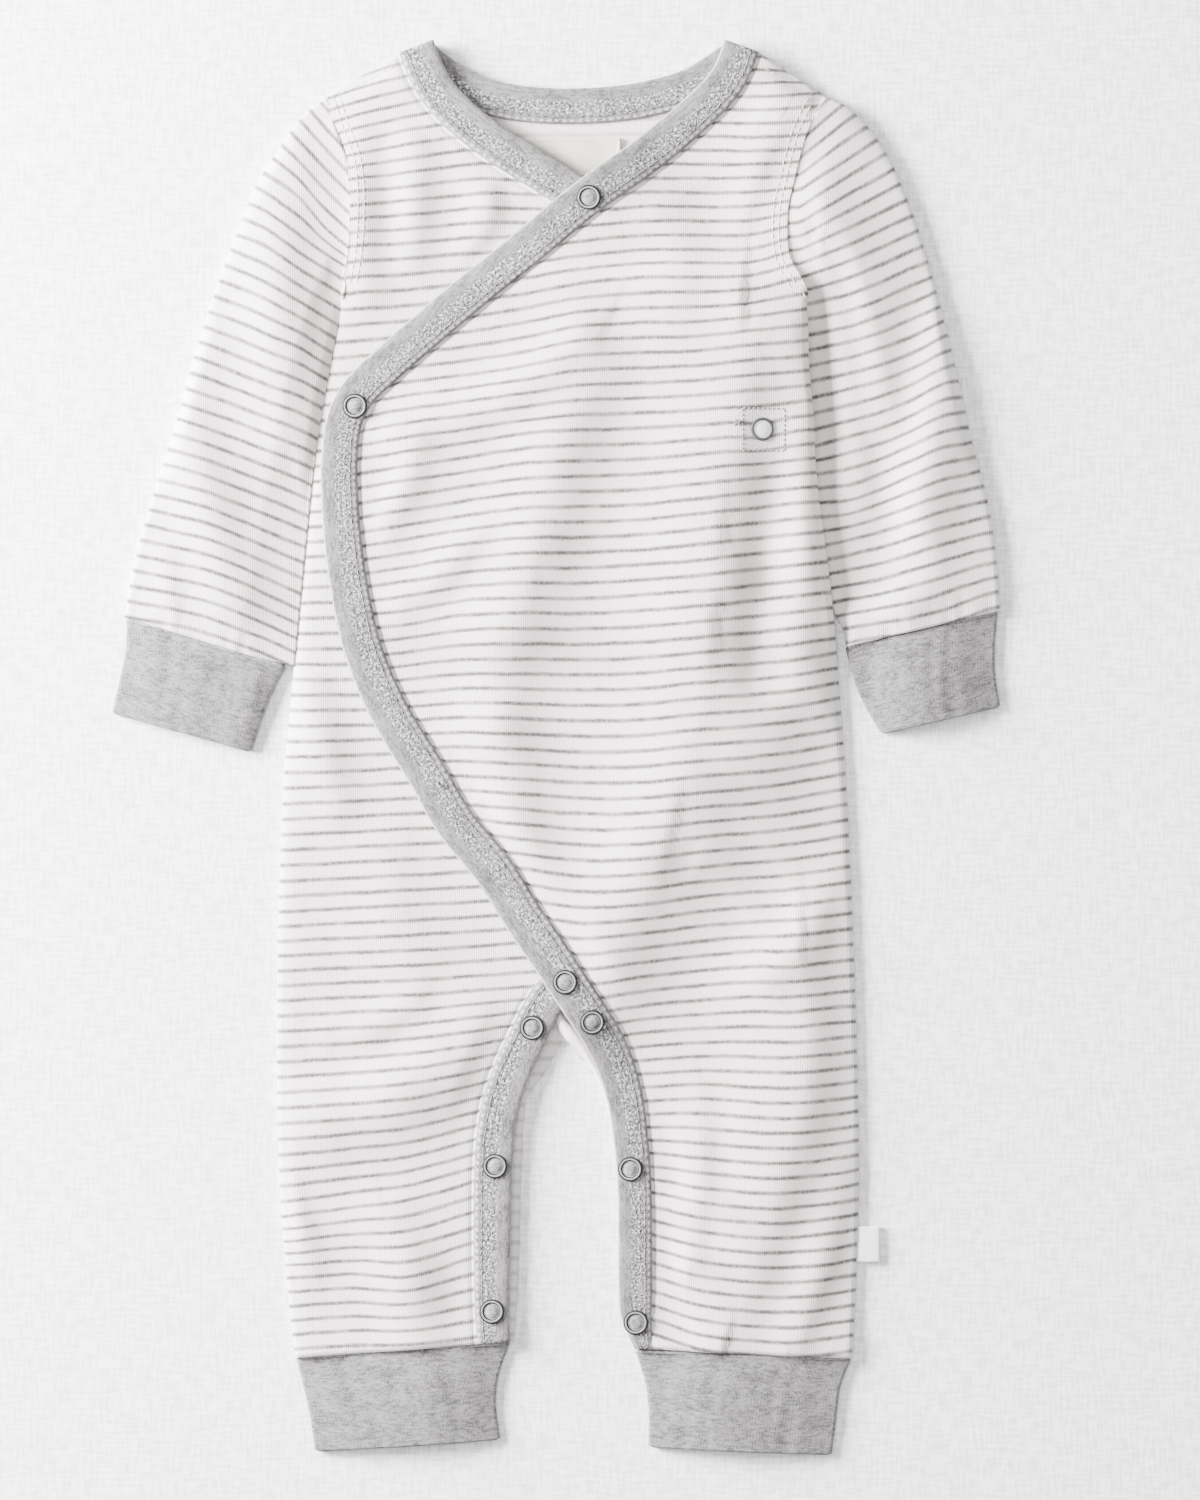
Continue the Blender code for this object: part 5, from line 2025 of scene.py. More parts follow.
@dataclass
class Sleeve(FlatTube):
    """A sleeve, from its armhole to the cuff's seam.

    Attributes:
        side: Its side of the wearer.
        bow_rows: How many sections from the armhole are bowed to it.
        armhole_gap: How far its end stands off the armhole.
        armhole_step: How much lower it lies there than the front.
        armhole_inset: How far into the body the front's height is taken there.
        crease_run: How wide its edges stay clear of creases.
        touch: How far past the side seam its inner edge reaches.
        part_y: Where it parts from the body.
        part_run: How far above that it lies fully against it.
        inner_height: The height of its inner edge beside the body.
        inner_rise: How much higher it is inner_run further out.
        inner_run: The width of that slope.
        inner_fade: How wide its inner edge stays clear of creases beside the body.
        end_run: How far up the puckers of the cuff's seam reach.
        end_pucker: How high they are.
    """

    side: Side = Side.LEFT
    bow_rows: float = 2.2
    armhole_gap: float = 0.6
    armhole_step: float = 0.5
    armhole_inset: float = 3.0
    crease_run: float = 5.0
    touch: float = -0.5
    part_y: float = 10.0
    part_run: float = 12.0
    inner_height: float = 2.8
    inner_rise: float = 2.8
    inner_run: float = 22.0
    inner_fade: float = 5.0
    end_run: float = 15.0
    end_pucker: float = 0.35

    def shape(self, row: Array, k: int, u: Array, z: Array) -> tuple[Array, Array, Array]:
        """Place a section, bowed to the armhole near the shoulder and creased on top.

        Args:
            row: The section's two ends and its height.
            k: Its number from the start.
            u: How far across its points are, as shares of its width.
            z: Their heights.

        Returns:
            Their x, y and z.
        """
        x, y, z = super().shape(row, k, u, z)
        seam = LAYERS.seams[self.side]
        spans = (len(self.rows()) - 1) / (len(self.sections) - 1)
        bow = max(0.0, 1 - k / spans / self.bow_rows) ** 2
        armhole = x_at(seam, seam[0, 1] + (UNDERARM_Y - seam[0, 1]) * np.clip(u, 0, 1))
        straight = seam[0, 0] + (float(x_at(seam, UNDERARM_Y)) - seam[0, 0]) * u
        x = x + (armhole - straight) * bow + self.side.value * self.armhole_gap * (k == 0)
        top = upper_share(z, row[4])
        width = width_of(row)
        inside = width * np.clip(1 - u, 0, 1)
        close = float(ease((row[3] - self.part_y) / self.part_run))
        gap = self.side.value * (row[2] - float(x_at(seam, row[3]))) - self.touch
        x = x - self.side.value * max(gap, 0.0) * close * fade(inside, 1.0, 12.0)
        slope = self.inner_height + self.inner_rise * np.minimum(1.0, inside / self.inner_run)
        share = top * (1 - ease((inside - 0.8 * self.inner_run) / 20.0)) * close
        z = z + (slope - z) * share * min(1.0, k / spans)
        middle = ease(width * np.minimum(u, 1 - u) / self.crease_run)
        middle = middle * (1 - close * (1 - ease(inside / self.inner_fade)))
        z = z + creased(CREASES_SLEEVE[self.side], x, y) * top * middle
        into = armhole - self.side.value * self.armhole_inset
        beside = FRONT_TOP[self.side](into, y) - self.armhole_step
        z = z + np.maximum(beside - z, 0.0) * top * bow
        end = fade(arc_to_end(self.sections, k, spans), 0.0, self.end_run)
        z = z + self.end_pucker * ripple(u * 64.0, 8.5, 0.7) * top * end * middle
        return x, y, z

    def cloth(self, x: Array, y: Array, run: Array, round_way: Array) -> Array:
        """The cloth map, whose second number counts the stripes."""
        return np.stack([x, DRAPE_SLEEVE[self.side].count(x, y)], axis=2)

    def material(self, finishes: Finishes) -> Material:
        """The sleeve's material."""
        return finishes.interlock


def width_of(row: Array) -> float:
    """How wide a section is."""
    return float(np.hypot(row[2] - row[0], row[3] - row[1]))


def upper_share(z: Array, height: float) -> Array:
    """1 on a section's upper face, falling to 0 on the lower third of its height."""
    third = 0.34 * height
    return np.clip((z - third) / third, 0.0, 1.0)


def arc_to_end(sections: Sequence[Section], k: int, spans: float) -> float:
    """About how far the k-th fine row is from a tube's last section.

    Args:
        sections: The tube's sections.
        k: The row's number.
        spans: How many fine rows there are to a section.

    Returns:
        The distance.
    """
    middle = [(0.5 * (s.outer_x + s.inner_x), 0.5 * (s.outer_y + s.inner_y)) for s in sections]
    arc = arc_length(np.array(middle))
    return float(arc[-1] - np.interp(k / spans, np.arange(len(arc)), arc))


@dataclass
class Cuff(FlatTube):
    """A rib cuff, tucked into the hem that it is sewn to.

    Attributes:
        tuck_length: How far it is tucked in.
        tuck_inset: How much narrower it is there on each side.
        tuck_level: How much higher it lies there.
        tuck_height: Its height there.
        corner: How much its corners are rounded.
        wave: The height of its slow unevenness.
    """

    tuck_length: float = 2.2
    tuck_inset: float = 1.6
    tuck_level: float = 1.15
    tuck_height: float = 2.4
    corner: float = 1.5
    wave: float = 0.16

    def rows(self) -> Array:
        """The sections with the tucked ring before them.

        Returns:
            One row for each section.
        """
        rows = super().rows()
        first = rows[0].copy()
        centre = 0.5 * (first[0:2] + first[2:4])
        ahead = 0.5 * (rows[3][0:2] + rows[3][2:4]) - centre
        ahead /= np.hypot(*ahead)
        tucked = first.copy()
        for start in (0, 2):
            reach = first[start:start + 2] - centre
            size = np.hypot(*reach)
            tucked[start:start + 2] = (centre + reach * (size - self.tuck_inset) / size
                                       - ahead * self.tuck_length)
        tucked[4] = self.tuck_height
        last = rows[-1].copy()
        for start, other in ((0, 2), (2, 0)):
            reach = last[other:other + 2] - last[start:start + 2]
            rows[-1, start:start + 2] += reach / np.hypot(*reach) * self.corner
        before = last + (rows[-2] - last) * 0.45
        return np.vstack([tucked, rows[:-1], before, rows[-1]])

    def shape(self, row: Array, k: int, u: Array, z: Array) -> tuple[Array, Array, Array]:
        """Place a section, lifted where it is tucked in and creased on top.

        Args:
            row: The section's two ends and its height.
            k: Its number from the start.
            u: How far across its points are, as shares of its width.
            z: Their heights.

        Returns:
            Their x, y and z.
        """
        x, y, z = super().shape(row, k, u, z)
        if k == 0:
            z = z + self.tuck_level
        top = upper_share(z, row[4])
        width = width_of(row)
        wave = self.wave * ripple(u * width, 11.0, 1.3)
        fold = creased(CREASES_CUFF[self.name], x, y)
        return x, y, z + (wave + fold) * top * (k > 0)


# ---------------------------------------------------------------- snaps, labels, small pieces

def surface_frame(top: HeightRule, x: float, y: float) -> Matrix:
    """The placing of a small piece that lies on a surface.

    Args:
        top: The surface's height rule, in millimetres.
        x: The place across.
        y: The place along.

    Returns:
        A matrix that turns +Z to the surface's normal and moves to it.
    """
    reach = 3.0
    around = np.array([(reach, 0.0), (-reach, 0.0), (0.0, reach), (0.0, -reach), (0.0, 0.0)])
    ahead, behind, above, below, here = map(float, top(x + around[:, 0], y + around[:, 1]))
    slope_x, slope_y = (ahead - behind) / (2 * reach), (above - below) / (2 * reach)
    up = Vector((-slope_x, -slope_y, 1.0)).normalized()
    spot = Vector((x, y, here)) * MM
    return Matrix.Translation(spot) @ up.to_track_quat("Z", "Y").to_matrix().to_4x4()


@dataclass
class RingSnap:
    """A stamped ring snap with cloth pressed up in its middle.

    Attributes:
        radius: The ring's outer radius.
        bore: The ring's inner radius.
        ring_height: A scale for the heights of the ring's steps.
        wall_height: How high the ring's outer wall stands over the cloth.
        buried: How deep the wall reaches into the cloth.
        dome: How high the middle stands.
        segments: Its corners all round, before it is rounded.
    """

    radius: float = SNAP_RADIUS
    bore: float = 3.3
    ring_height: float = 1.0
    wall_height: float = 0.85
    buried: float = 0.6
    dome: float = 0.55
    segments: int = 48

    def select_top(self, item: Object) -> None:
        """Select the highest flat face in the middle, in edit mode.

        Args:
            item: The snap's object.
        """
        bpy.ops.object.mode_set(mode="OBJECT")
        flat = [p for p in item.data.polygons if abs(p.normal.z) > 0.99 and p.normal.z > 0]
        middle = min(flat, key=lambda p: (p.center.xy.length, -p.center.z))
        for polygon in item.data.polygons:
            polygon.select = polygon.index == middle.index
        bpy.ops.object.mode_set(mode="EDIT")

    def pattern(self, rim: Material, body: Material, middle: Material) -> Object:
        """Model one snap at the origin.

        Args:
            rim: The material of the ring's two rims, a dark colour painted as shade along the
                ring's outer edge and round its bore.
            body: The material between them.
            middle: The material inside the ring.

        Returns:
            The snap, standing on z = 0.
        """
        deselect()
        bpy.ops.mesh.primitive_cylinder_add(
            vertices=self.segments, radius=self.radius * MM,
            depth=(self.wall_height + self.buried) * MM,
            location=(0.0, 0.0, 0.5 * (self.wall_height - self.buried) * MM))
        item = bpy.context.active_object
        bpy.ops.object.mode_set(mode="EDIT")
        bpy.ops.mesh.select_mode(type="FACE")
        wall = self.radius - self.bore
        steps = (
            (0.22 * wall, 0.18), (0.26 * wall, 0.10), (0.14 * wall, 0.05), (0.16 * wall, -0.06),
            (0.14 * wall, -0.30), (0.14 * wall, -0.34), (0.30, 0.02),
            (0.9, self.dome), (0.9, 0.12),
        )
        for inset, rise in steps:
            self.select_top(item)
            bpy.ops.mesh.inset(thickness=inset * MM, depth=0.0)
            bpy.ops.transform.translate(value=(0.0, 0.0, rise * self.ring_height * MM))
        bpy.ops.object.mode_set(mode="OBJECT")
        bpy.ops.object.transform_apply(location=True, rotation=True, scale=True)
        for material in (middle, body, rim):
            item.data.materials.append(material)
        for polygon in item.data.polygons:
            distance = polygon.center.xy.length / MM
            depth = (self.radius - distance) / wall
            # The outer and inner rims take the rim material, painted shade along the ring's outer
            # groove and round its bore.
            on_painted_shade_rim = depth < 0.50 or 0.78 < depth < 1.12
            polygon.material_index = 2 if on_painted_shade_rim else int(depth < 1.0)
        smooth = item.modifiers.new("rounded", "SUBSURF")
        smooth.levels = smooth.render_levels = 1
        apply_modifiers(item)
        item.data.shade_smooth()
        return item


@dataclass
class SnapSet:
    """Every snap, copied from its pattern onto the cloth.

    Attributes:
        over: The binding that the first row of snaps is on.
        under: The binding that the others are on.
        seat: How deep a snap sits in the cloth.
    """

    over: Binding
    under: Binding
    seat: float = 0.06

    def place(self, pattern: Object, snap: Snap, top: HeightRule, slot: str) -> Object:
        """Copy a pattern to its place.

        Args:
            pattern: The snap at the origin.
            snap: The snap's node and place.
            top: The height rule of what it sits on.
            slot: Not used.

        Returns:
            The placed snap.
        """
        mesh = pattern.data.copy()
        turned = Matrix.Rotation(0.9 * snap.x, 4, "Z")
        frame = surface_frame(top, snap.x, snap.y)
        mesh.transform(frame @ Matrix.Translation((0, 0, -self.seat * MM)) @ turned)
        mesh.name = snap.name
        item = add_object(snap.name, mesh)
        declare(item, [snap.name])
        return item

    def build(self, finishes: Finishes) -> list[Object]:
        """Model the patterns once and place every snap.

        Args:
            finishes: The garment's materials.

        Returns:
            The placed snaps.
        """
        grey = RingSnap().pattern(
            finishes.painted_rim_shade, finishes.grey_enamel, finishes.pressed_rib)
        # The white snap's whole ring is dark slate, painted as the shade round its white cap.
        white = RingSnap(radius=4.75, bore=3.55, ring_height=0.85, dome=0.35).pattern(
            finishes.painted_shade_slate, finishes.painted_shade_slate, finishes.white_enamel)
        made = [self.place(grey, snap, self.over.top, "snap_grey") for snap in SNAPS_OVER]
        made += [self.place(grey, snap, self.under.top, "snap_grey") for snap in SNAPS_UNDER]
        made.append(self.place(white, SNAP_WHITE, FRONT_TOP[Side.LEFT], "snap_white"))
        for pattern in (grey, white):
            bpy.data.objects.remove(pattern, do_unlink=True)
        return made


@dataclass
class NeckLabel:
    """A bare woven rectangle sewn to the inside of the back.

    Attributes:
        left: Its end at the wearer's right.
        right: Its end at the wearer's left.
        top: Its upper edge.
        bottom: Its lower edge.
        wall: Its thickness.
        hem: How wide its turned hem is.
        hem_rise: How much higher the hem lies.
        seat: How far it lies off the back.
        bow: The height of its slow waves.
    """

    left: float = -16.6
    right: float = 25.8
    top: float = 243.6
    bottom: float = 228.4
    wall: float = 0.6
    hem: float = 1.4
    hem_rise: float = 0.30
    seat: float = 0.32
    bow: float = 0.12

    def build(self, finishes: Finishes) -> Object:
        """Build the label with its turned hem.

        Args:
            finishes: The garment's materials.

        Returns:
            The finished object.
        """
        deselect()
        middle = Vector((0.5 * (self.left + self.right), 0.5 * (self.top + self.bottom), 0.0))
        bpy.ops.mesh.primitive_grid_add(
            x_subdivisions=54, y_subdivisions=20, size=1.0, location=middle * MM,
            calc_uvs=True)
        item = bpy.context.active_object
        item.name = item.data.name = "label_of_the_neck"
        width, length = self.right - self.left, self.top - self.bottom
        back = upper_face(LAYERS.back)
        for v in item.data.vertices:
            x, y = v.co.x * width, v.co.y * length
            rim = min(0.5 * width - abs(x), 0.5 * length - abs(y))
            z = back(np.array(x + middle.x), np.array(y + middle.y)) + self.seat
            z = float(z) + self.hem_rise * (rim < self.hem) + self.bow * math.sin(0.31 * x + 0.5)
            v.co = Vector((x, y, z)) * MM
        layer = item.data.uv_layers[0]
        layer.name = "cloth"
        for loop in item.data.loops:
            co = item.data.vertices[loop.vertex_index].co
            layer.data[loop.index].uv = (co.x / MM / UV_SPAN, co.y / MM / UV_SPAN)
        shell = item.modifiers.new("wall", "SOLIDIFY")
        shell.thickness = self.wall * MM
        shell.offset = 1.0
        apply_modifiers(item)
        bpy.ops.object.transform_apply(location=True, rotation=True, scale=True)
        item.data.materials.append(finishes.label)
        item.data.shade_smooth()
        declare(item, ["neck_label"])
        return item


@dataclass
class SideTab:
    """A bare folded tab in the left leg's side seam.

    Attributes:
        left: Its end in the seam.
        right: Its folded end.
        top: Its upper edge.
        bottom: Its lower edge.
        levels: The heights of its two plies.
        fold: How far its folded end is rounded out.
        bow: How much it bends up beside the seam.
        columns: Its points across one ply.
        rows: Its points along.
    """

    left: float = 119.6
    right: float = 129.4
    top: float = -191.2
    bottom: float = -205.6
    levels: tuple[float, float] = (0.5, 1.6)
    fold: float = 0.7
    bow: float = 0.25
    columns: int = 7
    rows: int = 15

    def build(self, finishes: Finishes) -> Object:
        """Build the tab as a folded loop of tape.

        Args:
            finishes: The garment's materials.

        Returns:
            The finished object.
        """
        width, length = self.right - self.left, self.top - self.bottom
        low, high = self.levels
        turn = np.linspace(-0.5 * math.pi, 0.5 * math.pi, 7)[1:-1]
        lower = np.linspace(0.0, width - 1.0, self.columns)
        x = np.concatenate([lower, width - 1.0 + self.fold * np.cos(turn), lower[::-1]])
        z = np.concatenate([np.full(self.columns, low),
                            0.5 * (low + high) + 0.5 * (high - low) * np.sin(turn),
                            np.full(self.columns, high)])
        y = np.linspace(-0.5 * length, 0.5 * length, self.rows)
        grid_x, grid_y = np.meshgrid(self.left + x, 0.5 * (self.top + self.bottom) + y)
        bow = self.bow * np.cos(math.pi * (y / length))[:, None] * (x > 2.0)[None, :]
        grid_z = np.broadcast_to(z, grid_x.shape) + bow
        points = np.stack([grid_x, grid_y, grid_z], axis=2)
        sheet = Sheet("side_tab_tape", points, points[..., :2], 0.4, 0.0)
        return sheet.make(finishes.tab, "side_tab", ["side_tab"])


@dataclass
class CrotchFold:
    """The back's cream cloth turned up beside the crotch and running thin down the leg.

    Attributes:
        flat: Its cut, over all, in metres. Not used.
        area: Its flat area, in square metres. Not used.
        spine: Its middle line with its half width.
        level: The height of its middle line.
        squash: Its height as a share of its half width.
        columns: Its points across.
    """

    flat: tuple[float, float] = (0.010, 0.056)
    area: float = 0.0003
    spine: tuple[tuple[float, float, float], ...] = (
        (0.0, -105.0, 0.8), (2.2, -110.2, 2.3), (6.0, -114.8, 2.9), (10.4, -119.6, 2.3),
        (13.8, -125.6, 1.3), (17.2, -132.4, 1.1), (20.2, -140.0, 0.9), (22.2, -148.0, 0.6),
    )
    level: float = 1.5
    squash: float = 0.95
    columns: int = 13

    def build(self, finishes: Finishes) -> Object:
        """Build the fold as a soft half round roll.

        Args:
            finishes: The garment's materials.

        Returns:
            The finished object.
        """
        line = smooth_line(self.spine, 1.2)
        normal = inward(line)
        turn = np.linspace(-0.12 * math.pi, 1.12 * math.pi, self.columns)
        across = np.cos(turn)[None, :] * line[:, 2][:, None]
        up = np.sin(turn)[None, :] * line[:, 2][:, None] * self.squash
        plan = line[:, None, :2] + normal[:, None, :] * across[..., None]
        points = raised(plan, self.level + up)
        cloth = np.stack([points[..., 0], np.full(across.shape, 0.5)], axis=2)
        sheet = Sheet("crotch_fold", points, cloth, 0.5, -1.0)
        return sheet.make(finishes.interlock, "striped_interlock")


@dataclass
class SeamRolls:
    """The rolls of cloth in the seams over the cuffs and in the armholes.

    Attributes:
        hem_radius: The radius of an allowance over a cuff.
        hem_foot: How high its ends lie.
        hem_rise: How much higher its middle lies.
        armhole_radius: The radius of a roll in an armhole.
        armhole_foot: How high its ends lie.
        armhole_rise: How much higher its middle lies.
    """

    hem_radius: float = 0.8
    hem_foot: float = 1.6
    hem_rise: float = 2.3
    armhole_radius: float = 0.55
    armhole_foot: float = 1.9
    armhole_rise: float = 1.5

    def hem(self, section: Section) -> Array:
        """The path of the allowance in the crease over a cuff, from its first section.

        Args:
            section: The cuff's first section.

        Returns:
            The path's x, y and z.
        """
        part = np.linspace(0.02, 0.98, 60)
        x = section.outer_x + (section.inner_x - section.outer_x) * part
        y = section.outer_y + (section.inner_y - section.outer_y) * part + 0.4
        z = (self.hem_foot + self.hem_rise * np.sin(math.pi * part) ** 0.4
             + 0.15 * ripple(64.0 * part, 7.0, 2.0))
        return np.stack([x, y, z], axis=1)

    def armhole(self, side: Side) -> Array:
        """The path of the roll along an armhole's seam.

        Args:
            side: The side of the wearer.

        Returns:
            The path's x, y and z.
        """
        seam = LAYERS.seams[side]
        line = resample(seam[seam[:, 1] > UNDERARM_Y], 2.0)
        share = np.clip(np.linspace(0.0, 1.0, len(line)), 0.05, 0.95)
        z = self.armhole_foot + self.armhole_rise * np.sin(math.pi * share) ** 0.5
        return np.stack([line[:, 0] + side.value * 0.3, line[:, 1], z], axis=1)

    def build(self, finishes: Finishes) -> Object:
        """Build the armholes' rolls in one mesh.

        Args:
            finishes: The garment's materials.

        Returns:
            The finished object.
        """
        rolls = Threads("seam_rolls", self.armhole_radius, 8)
        for side in Side:
            rolls.lay(self.armhole(side))
        return rolls.make(finishes.cream_thread, "striped_interlock")

    def build_hems(self, finishes: Finishes) -> Object:
        """Build the allowances over the four cuffs in one mesh.

        Args:
            finishes: The garment's materials.

        Returns:
            The finished object.
        """
        rolls = Threads("hem_allowances", self.hem_radius, 8)
        for sections in CUFFS.values():
            rolls.lay(self.hem(sections[0]))
        return rolls.make(finishes.pressed_rib, "heather_rib")


# ---------------------------------------------------------------- topstitching

@dataclass
class Topstitch:
    """Rows of short stitches along seams, the stitched square and the small knot.

    Attributes:
        stitch: A stitch's length.
        gap: The gap to the next one.
        dip: The heights of a stitch's points over its middle level.
        seam_insets: How far its rows lie in from the armhole.
        shoulder_inset: How far its row lies in from the shoulder.
        square_half: Half the side of the square.
    """

    stitch: float = 2.3
    gap: float = 0.7
    dip: tuple[float, ...] = (-0.10, 0.06, 0.12, 0.06, -0.10)
    seam_insets: tuple[float, ...] = (2.2, 4.6)
    shoulder_inset: float = 1.8
    square_half: float = 8.4

    def dashes(self, threads: Threads, line: Array, top: HeightRule) -> None:
        """Lay dashes along a line on a surface.

        Args:
            threads: Where they are gathered.
            line: The line's x and y.
            top: The surface's height rule.
        """
        arc = arc_length(line)
        start = 0.4
        while start + self.stitch < arc[-1]:
            places = np.linspace(start, start + self.stitch, len(self.dip))
            x = np.interp(places, arc, line[:, 0])
            y = np.interp(places, arc, line[:, 1])
            threads.lay(np.stack([x, y, top(x, y) + 0.05 + np.array(self.dip)], axis=1))
            start += self.stitch + self.gap

    def seam_line(self, side: Side, inset: float) -> Array:
        """The armhole's line, inset mm into the body.

        Args:
            side: The side of the wearer.
            inset: How far in from the seam.

        Returns:
            The line's x and y.
        """
        seam = LAYERS.seams[side]
        armhole = seam[seam[:, 1] > UNDERARM_Y + 3.0]
        return offset_line(armhole, inset, 1 if side is Side.LEFT else -1)

    def shoulder_line(self, side: Side, inset: float) -> Array:
        """The shoulder's line, inset mm into the front.

        Args:
            side: The side of the wearer.
            inset: How far in from the shoulder.

        Returns:
            The line's x and y.
        """
        near, tip = NECK_TIP[side], SIDE_SEAM[side][0]
        line = np.linspace((tip.x, tip.y), (near.x, near.y), 20)[2:-7]
        return offset_line(line, inset, -side.value)

    def build(self, finishes: Finishes) -> Object:
        """Build all the cream stitches in one mesh.

        Args:
            finishes: The garment's materials.

        Returns:
            The finished object.
        """
        threads = Threads("topstitching", 0.16, 5)
        for side, top in FRONT_TOP.items():
            for inset in self.seam_insets:
                self.dashes(threads, self.seam_line(side, inset), top)
            self.dashes(threads, self.shoulder_line(side, self.shoulder_inset), top)
        return threads.make(finishes.cream_thread, "striped_interlock")

    def build_square(self, finishes: Finishes) -> Object:
        """Build the stitched square round the white snap, with its knot.

        Args:
            finishes: The garment's materials.

        Returns:
            The finished object.
        """
        threads = Threads("snap_square_stitches", 0.34, 5)
        top = FRONT_TOP[Side.LEFT]
        centre = np.array([SNAP_WHITE.x + 0.6, SNAP_WHITE.y - 0.2])
        for turn in range(4):
            angle = 0.5 * math.pi * turn
            along = np.array([math.cos(angle), math.sin(angle)]) * self.square_half
            out = np.array([-along[1], along[0]])
            line = np.linspace(centre + out - along, centre + out + along, 12)
            self.dashes(threads, line, top)
        for shift in (-0.5, 0.2, 0.8):
            x = np.linspace(SNAP_WHITE.x - 11.2, SNAP_WHITE.x - 8.6, 6)
            y = np.full(6, SNAP_WHITE.y + 2.4 + shift) + 0.4 * np.sin(3 * x)
            threads.lay(np.stack([x, y, top(x, y) + 0.2], axis=1))
        return threads.make(finishes.grey_thread, "striped_interlock")


# ---------------------------------------------------------------- studio

class Lamp(NamedTuple):
    """A square area light that looks at the garment's middle, its lengths in metres."""

    name: str
    place: tuple[float, float, float]
    size: float
    watts: float
    colour: Colour


LAMPS = (
    Lamp("key", (-1.25, 0.42, 0.48), 0.7, 275.0, (1.0, 0.997, 0.99)),
    Lamp("top", (-0.3, 0.3, 2.2), 1.6, 40.0, (0.99, 0.995, 1.0)),
    Lamp("fill", (1.5, -0.3, 0.6), 0.9, 10.0, (1.0, 1.0, 1.0)),
)


@dataclass
class Studio:
    """The surface, the light and the camera straight above.

    Attributes:
        centre: What the camera is over.
        view_height: How much of the surface the picture's height shows.
        lens: The lens, in millimetres.
        sensor: The sensor's height, in millimetres.
        sky: The strength of the even sky.
        sky_tone: Its colour.
    """

    centre: Point = Point(17.4, -0.8)
    view_height: float = 600.0
    lens: float = 120.0
    sensor: float = 36.0
    sky: float = 0.58
    sky_tone: Colour = (0.985, 0.99, 1.0)

    def floor(self) -> None:
        """Lay the pale surface."""
        deselect()
        bpy.ops.mesh.primitive_plane_add(size=6.0, location=(0.0, 0.0, -0.0003))
        item = bpy.context.active_object
        item.name = item.data.name = "pale_surface"
        item.data.materials.append(PaleSurface().make())

    def lights(self) -> None:
        """Hang the lamps and set an even sky."""
        for lamp in LAMPS:
            light = bpy.data.lights.new(lamp.name, "AREA")
            light.size = lamp.size
            light.energy = lamp.watts
            light.color = lamp.colour
            item = add_object(lamp.name, light)
            item.location = lamp.place
            item.rotation_euler = (-Vector(lamp.place)).to_track_quat("-Z", "Y").to_euler()
        world = bpy.data.worlds.new("even_sky")
        world.use_nodes = True
        background = world.node_tree.nodes["Background"]
        background.inputs["Color"].default_value = (*self.sky_tone, 1.0)
        background.inputs["Strength"].default_value = self.sky
        bpy.context.scene.world = world

    def camera(self) -> None:
        """Hang the camera over the photograph's middle."""
        lens = bpy.data.cameras.new("camera")
        lens.lens = self.lens
        lens.sensor_fit = "VERTICAL"
        lens.sensor_height = self.sensor
        lens.clip_end = 20.0
        item = add_object("camera", lens)
        distance = self.view_height * self.lens / self.sensor
        item.location = Vector((self.centre.x, self.centre.y, distance)) * MM
        bpy.context.scene.camera = item

    def build(self) -> None:
        """Set the whole studio."""
        self.floor()
        self.lights()
        self.camera()


# ---------------------------------------------------------------- the garment

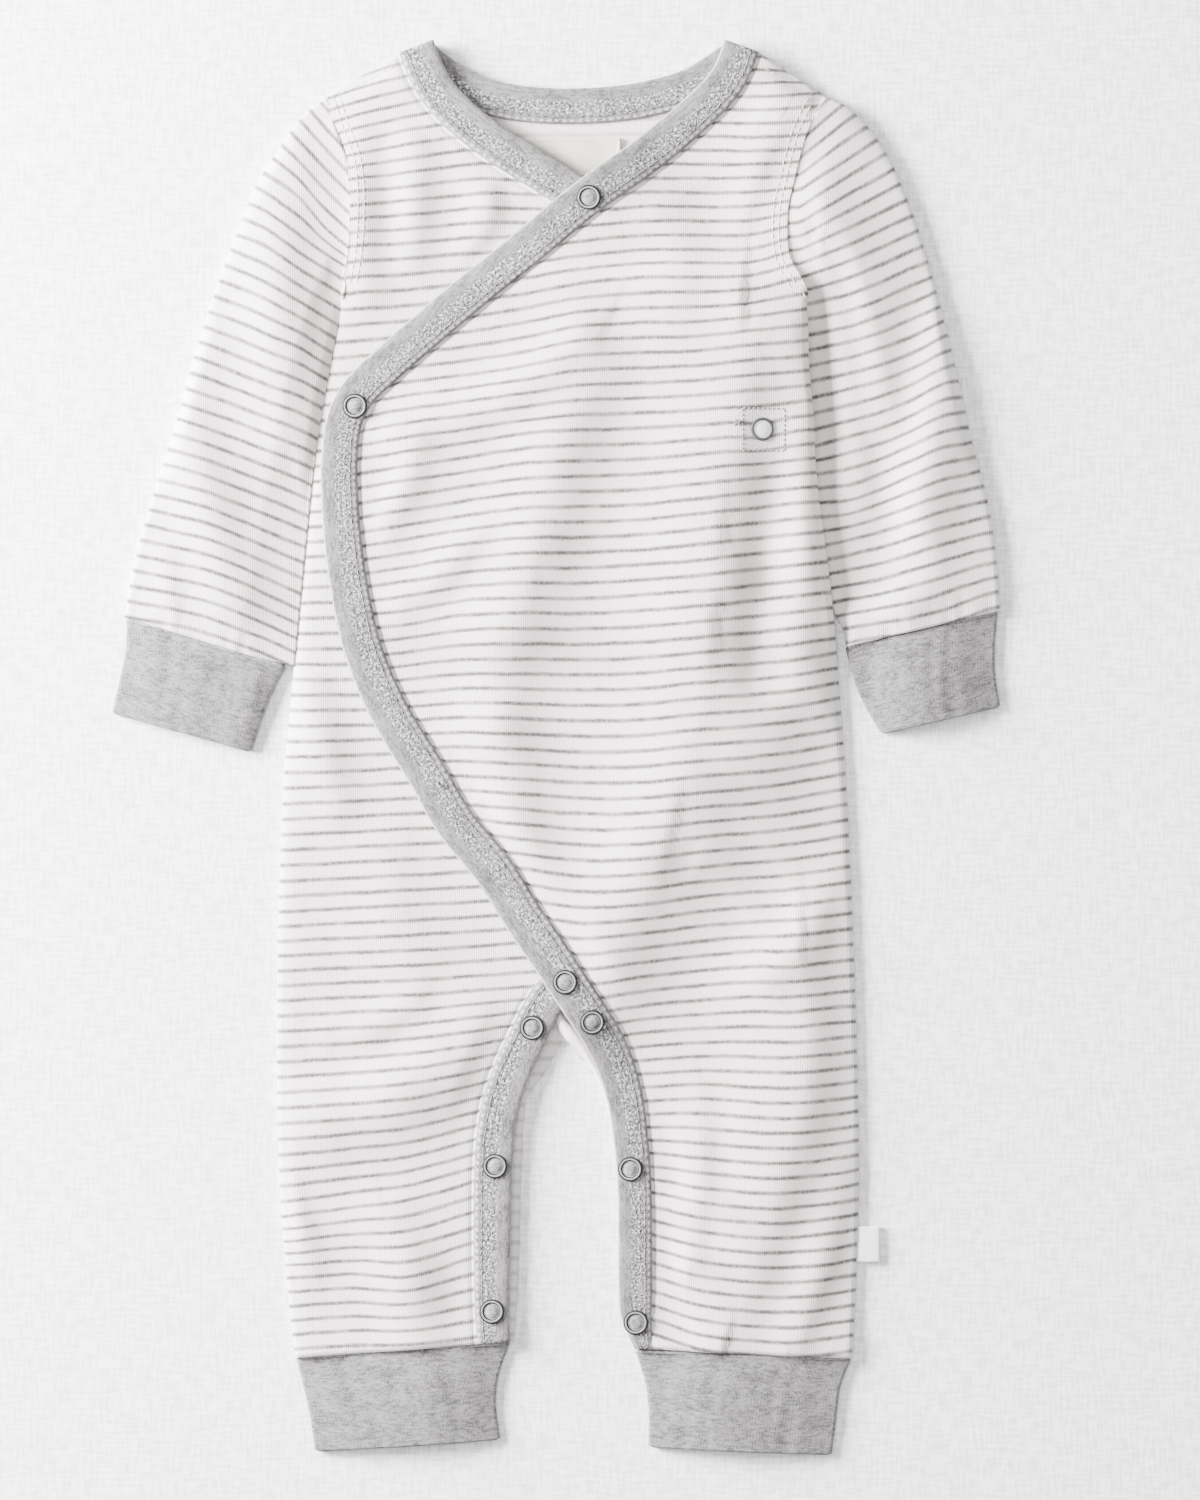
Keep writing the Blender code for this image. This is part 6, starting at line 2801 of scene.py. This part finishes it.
class Sleepsuit:
    """The whole garment."""

    def __init__(self, finishes: Finishes) -> None:
        """Size every sub-assembly.

        Args:
            finishes: The garment's materials.
        """
        self.finishes = finishes
        self.back = BackPanel()
        self.fronts = (
            FrontPanel("front_under", Side.RIGHT, EDGE_UNDER, 1, LAYERS.under, DRAPE_UNDER,
                       HEM_UNDER, (0.205, 0.526), 0.0705),
            FrontPanel("front_over", Side.LEFT, EDGE_OVER, -1, LAYERS.over, DRAPE_OVER,
                       HEM_OVER, (0.214, 0.527), 0.0705),
        )
        self.neck = Binding("binding_neck_back", EDGE_BACK_NECK, 1, LAYERS.back,
                            NO_HEM, (0.034, 0.136), 0.0040)
        self.under = Binding("binding_under", EDGE_UNDER, 1, LAYERS.under, HEM_UNDER,
                             (0.034, 0.625), 0.0188)
        self.over = Binding("binding_over", EDGE_OVER, -1, LAYERS.over, HEM_OVER,
                            (0.034, 0.640), 0.0190, wear_and_painted_highlight=True)
        self.sleeves = (
            Sleeve("sleeve_right", SLEEVES[Side.RIGHT], "striped_interlock", WALL,
                   (0.170, 0.230), 0.0226, columns=36, side=Side.RIGHT),
            Sleeve("sleeve_left", SLEEVES[Side.LEFT], "striped_interlock", WALL,
                   (0.170, 0.222), 0.0232, columns=36, side=Side.LEFT, part_y=46.0,
                   inner_height=3.0, inner_rise=-0.5, inner_run=32.0,
                   inner_fade=30.0),
        )
        self.cuffs = tuple(
            Cuff(name, sections, "heather_rib", CUFF_WALL, flat, area, edge_share=0.5, columns=44)
            for (name, sections), (flat, area) in zip(CUFFS.items(), (
                ((0.134, 0.042), 0.0048), ((0.130, 0.040), 0.0044),
                ((0.170, 0.042), 0.0063), ((0.170, 0.040), 0.0063))))

    def declare_sheet(self, item: Object) -> None:
        """Report a piece's name and its number of faces.

        Args:
            item: The piece's object.
        """
        LOG.info("%s: %d faces", item.name, len(item.data.polygons))

    def build(self) -> None:
        """Build every sub-assembly in order."""
        back = self.back.build(self.finishes)
        fronts = [front.build(self.finishes) for front in self.fronts]
        neck, under, over = (b.build(self.finishes) for b in (self.neck, self.under, self.over))
        stitches = [b.coverstitch(self.finishes) for b in (self.neck, self.under, self.over)]
        label = NeckLabel().build(self.finishes)
        tab = SideTab().build(self.finishes)
        fold = CrotchFold()
        folded = fold.build(self.finishes)
        topstitch = Topstitch().build(self.finishes)
        square = Topstitch(stitch=0.9, gap=1.0).build_square(self.finishes)
        rolls = SeamRolls().build(self.finishes)
        hems = SeamRolls().build_hems(self.finishes)
        snaps = SnapSet(self.over, self.under).build(self.finishes)
        self.declare_sheet(back)
        self.declare_sheet(fronts[0])
        self.declare_sheet(fronts[1])
        self.declare_sheet(neck)
        self.declare_sheet(under)
        self.declare_sheet(over)
        self.declare_sheet(folded)
        for piece in (*self.sleeves, *self.cuffs):
            self.declare_sheet(piece.build(self.finishes))
        for item in (*stitches, label, tab, topstitch, square, rolls, hems, *snaps):
            LOG.info("%s: %d faces", item.name, len(item.data.polygons))


def main() -> None:
    """Load the frame, build the garment and the studio, and note the sizes."""
    logging.basicConfig(level=logging.INFO, format="%(name)s: %(message)s")
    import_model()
    Studio().build()
    Sleepsuit(Finishes()).build()


if __name__ == "__main__":
    main()
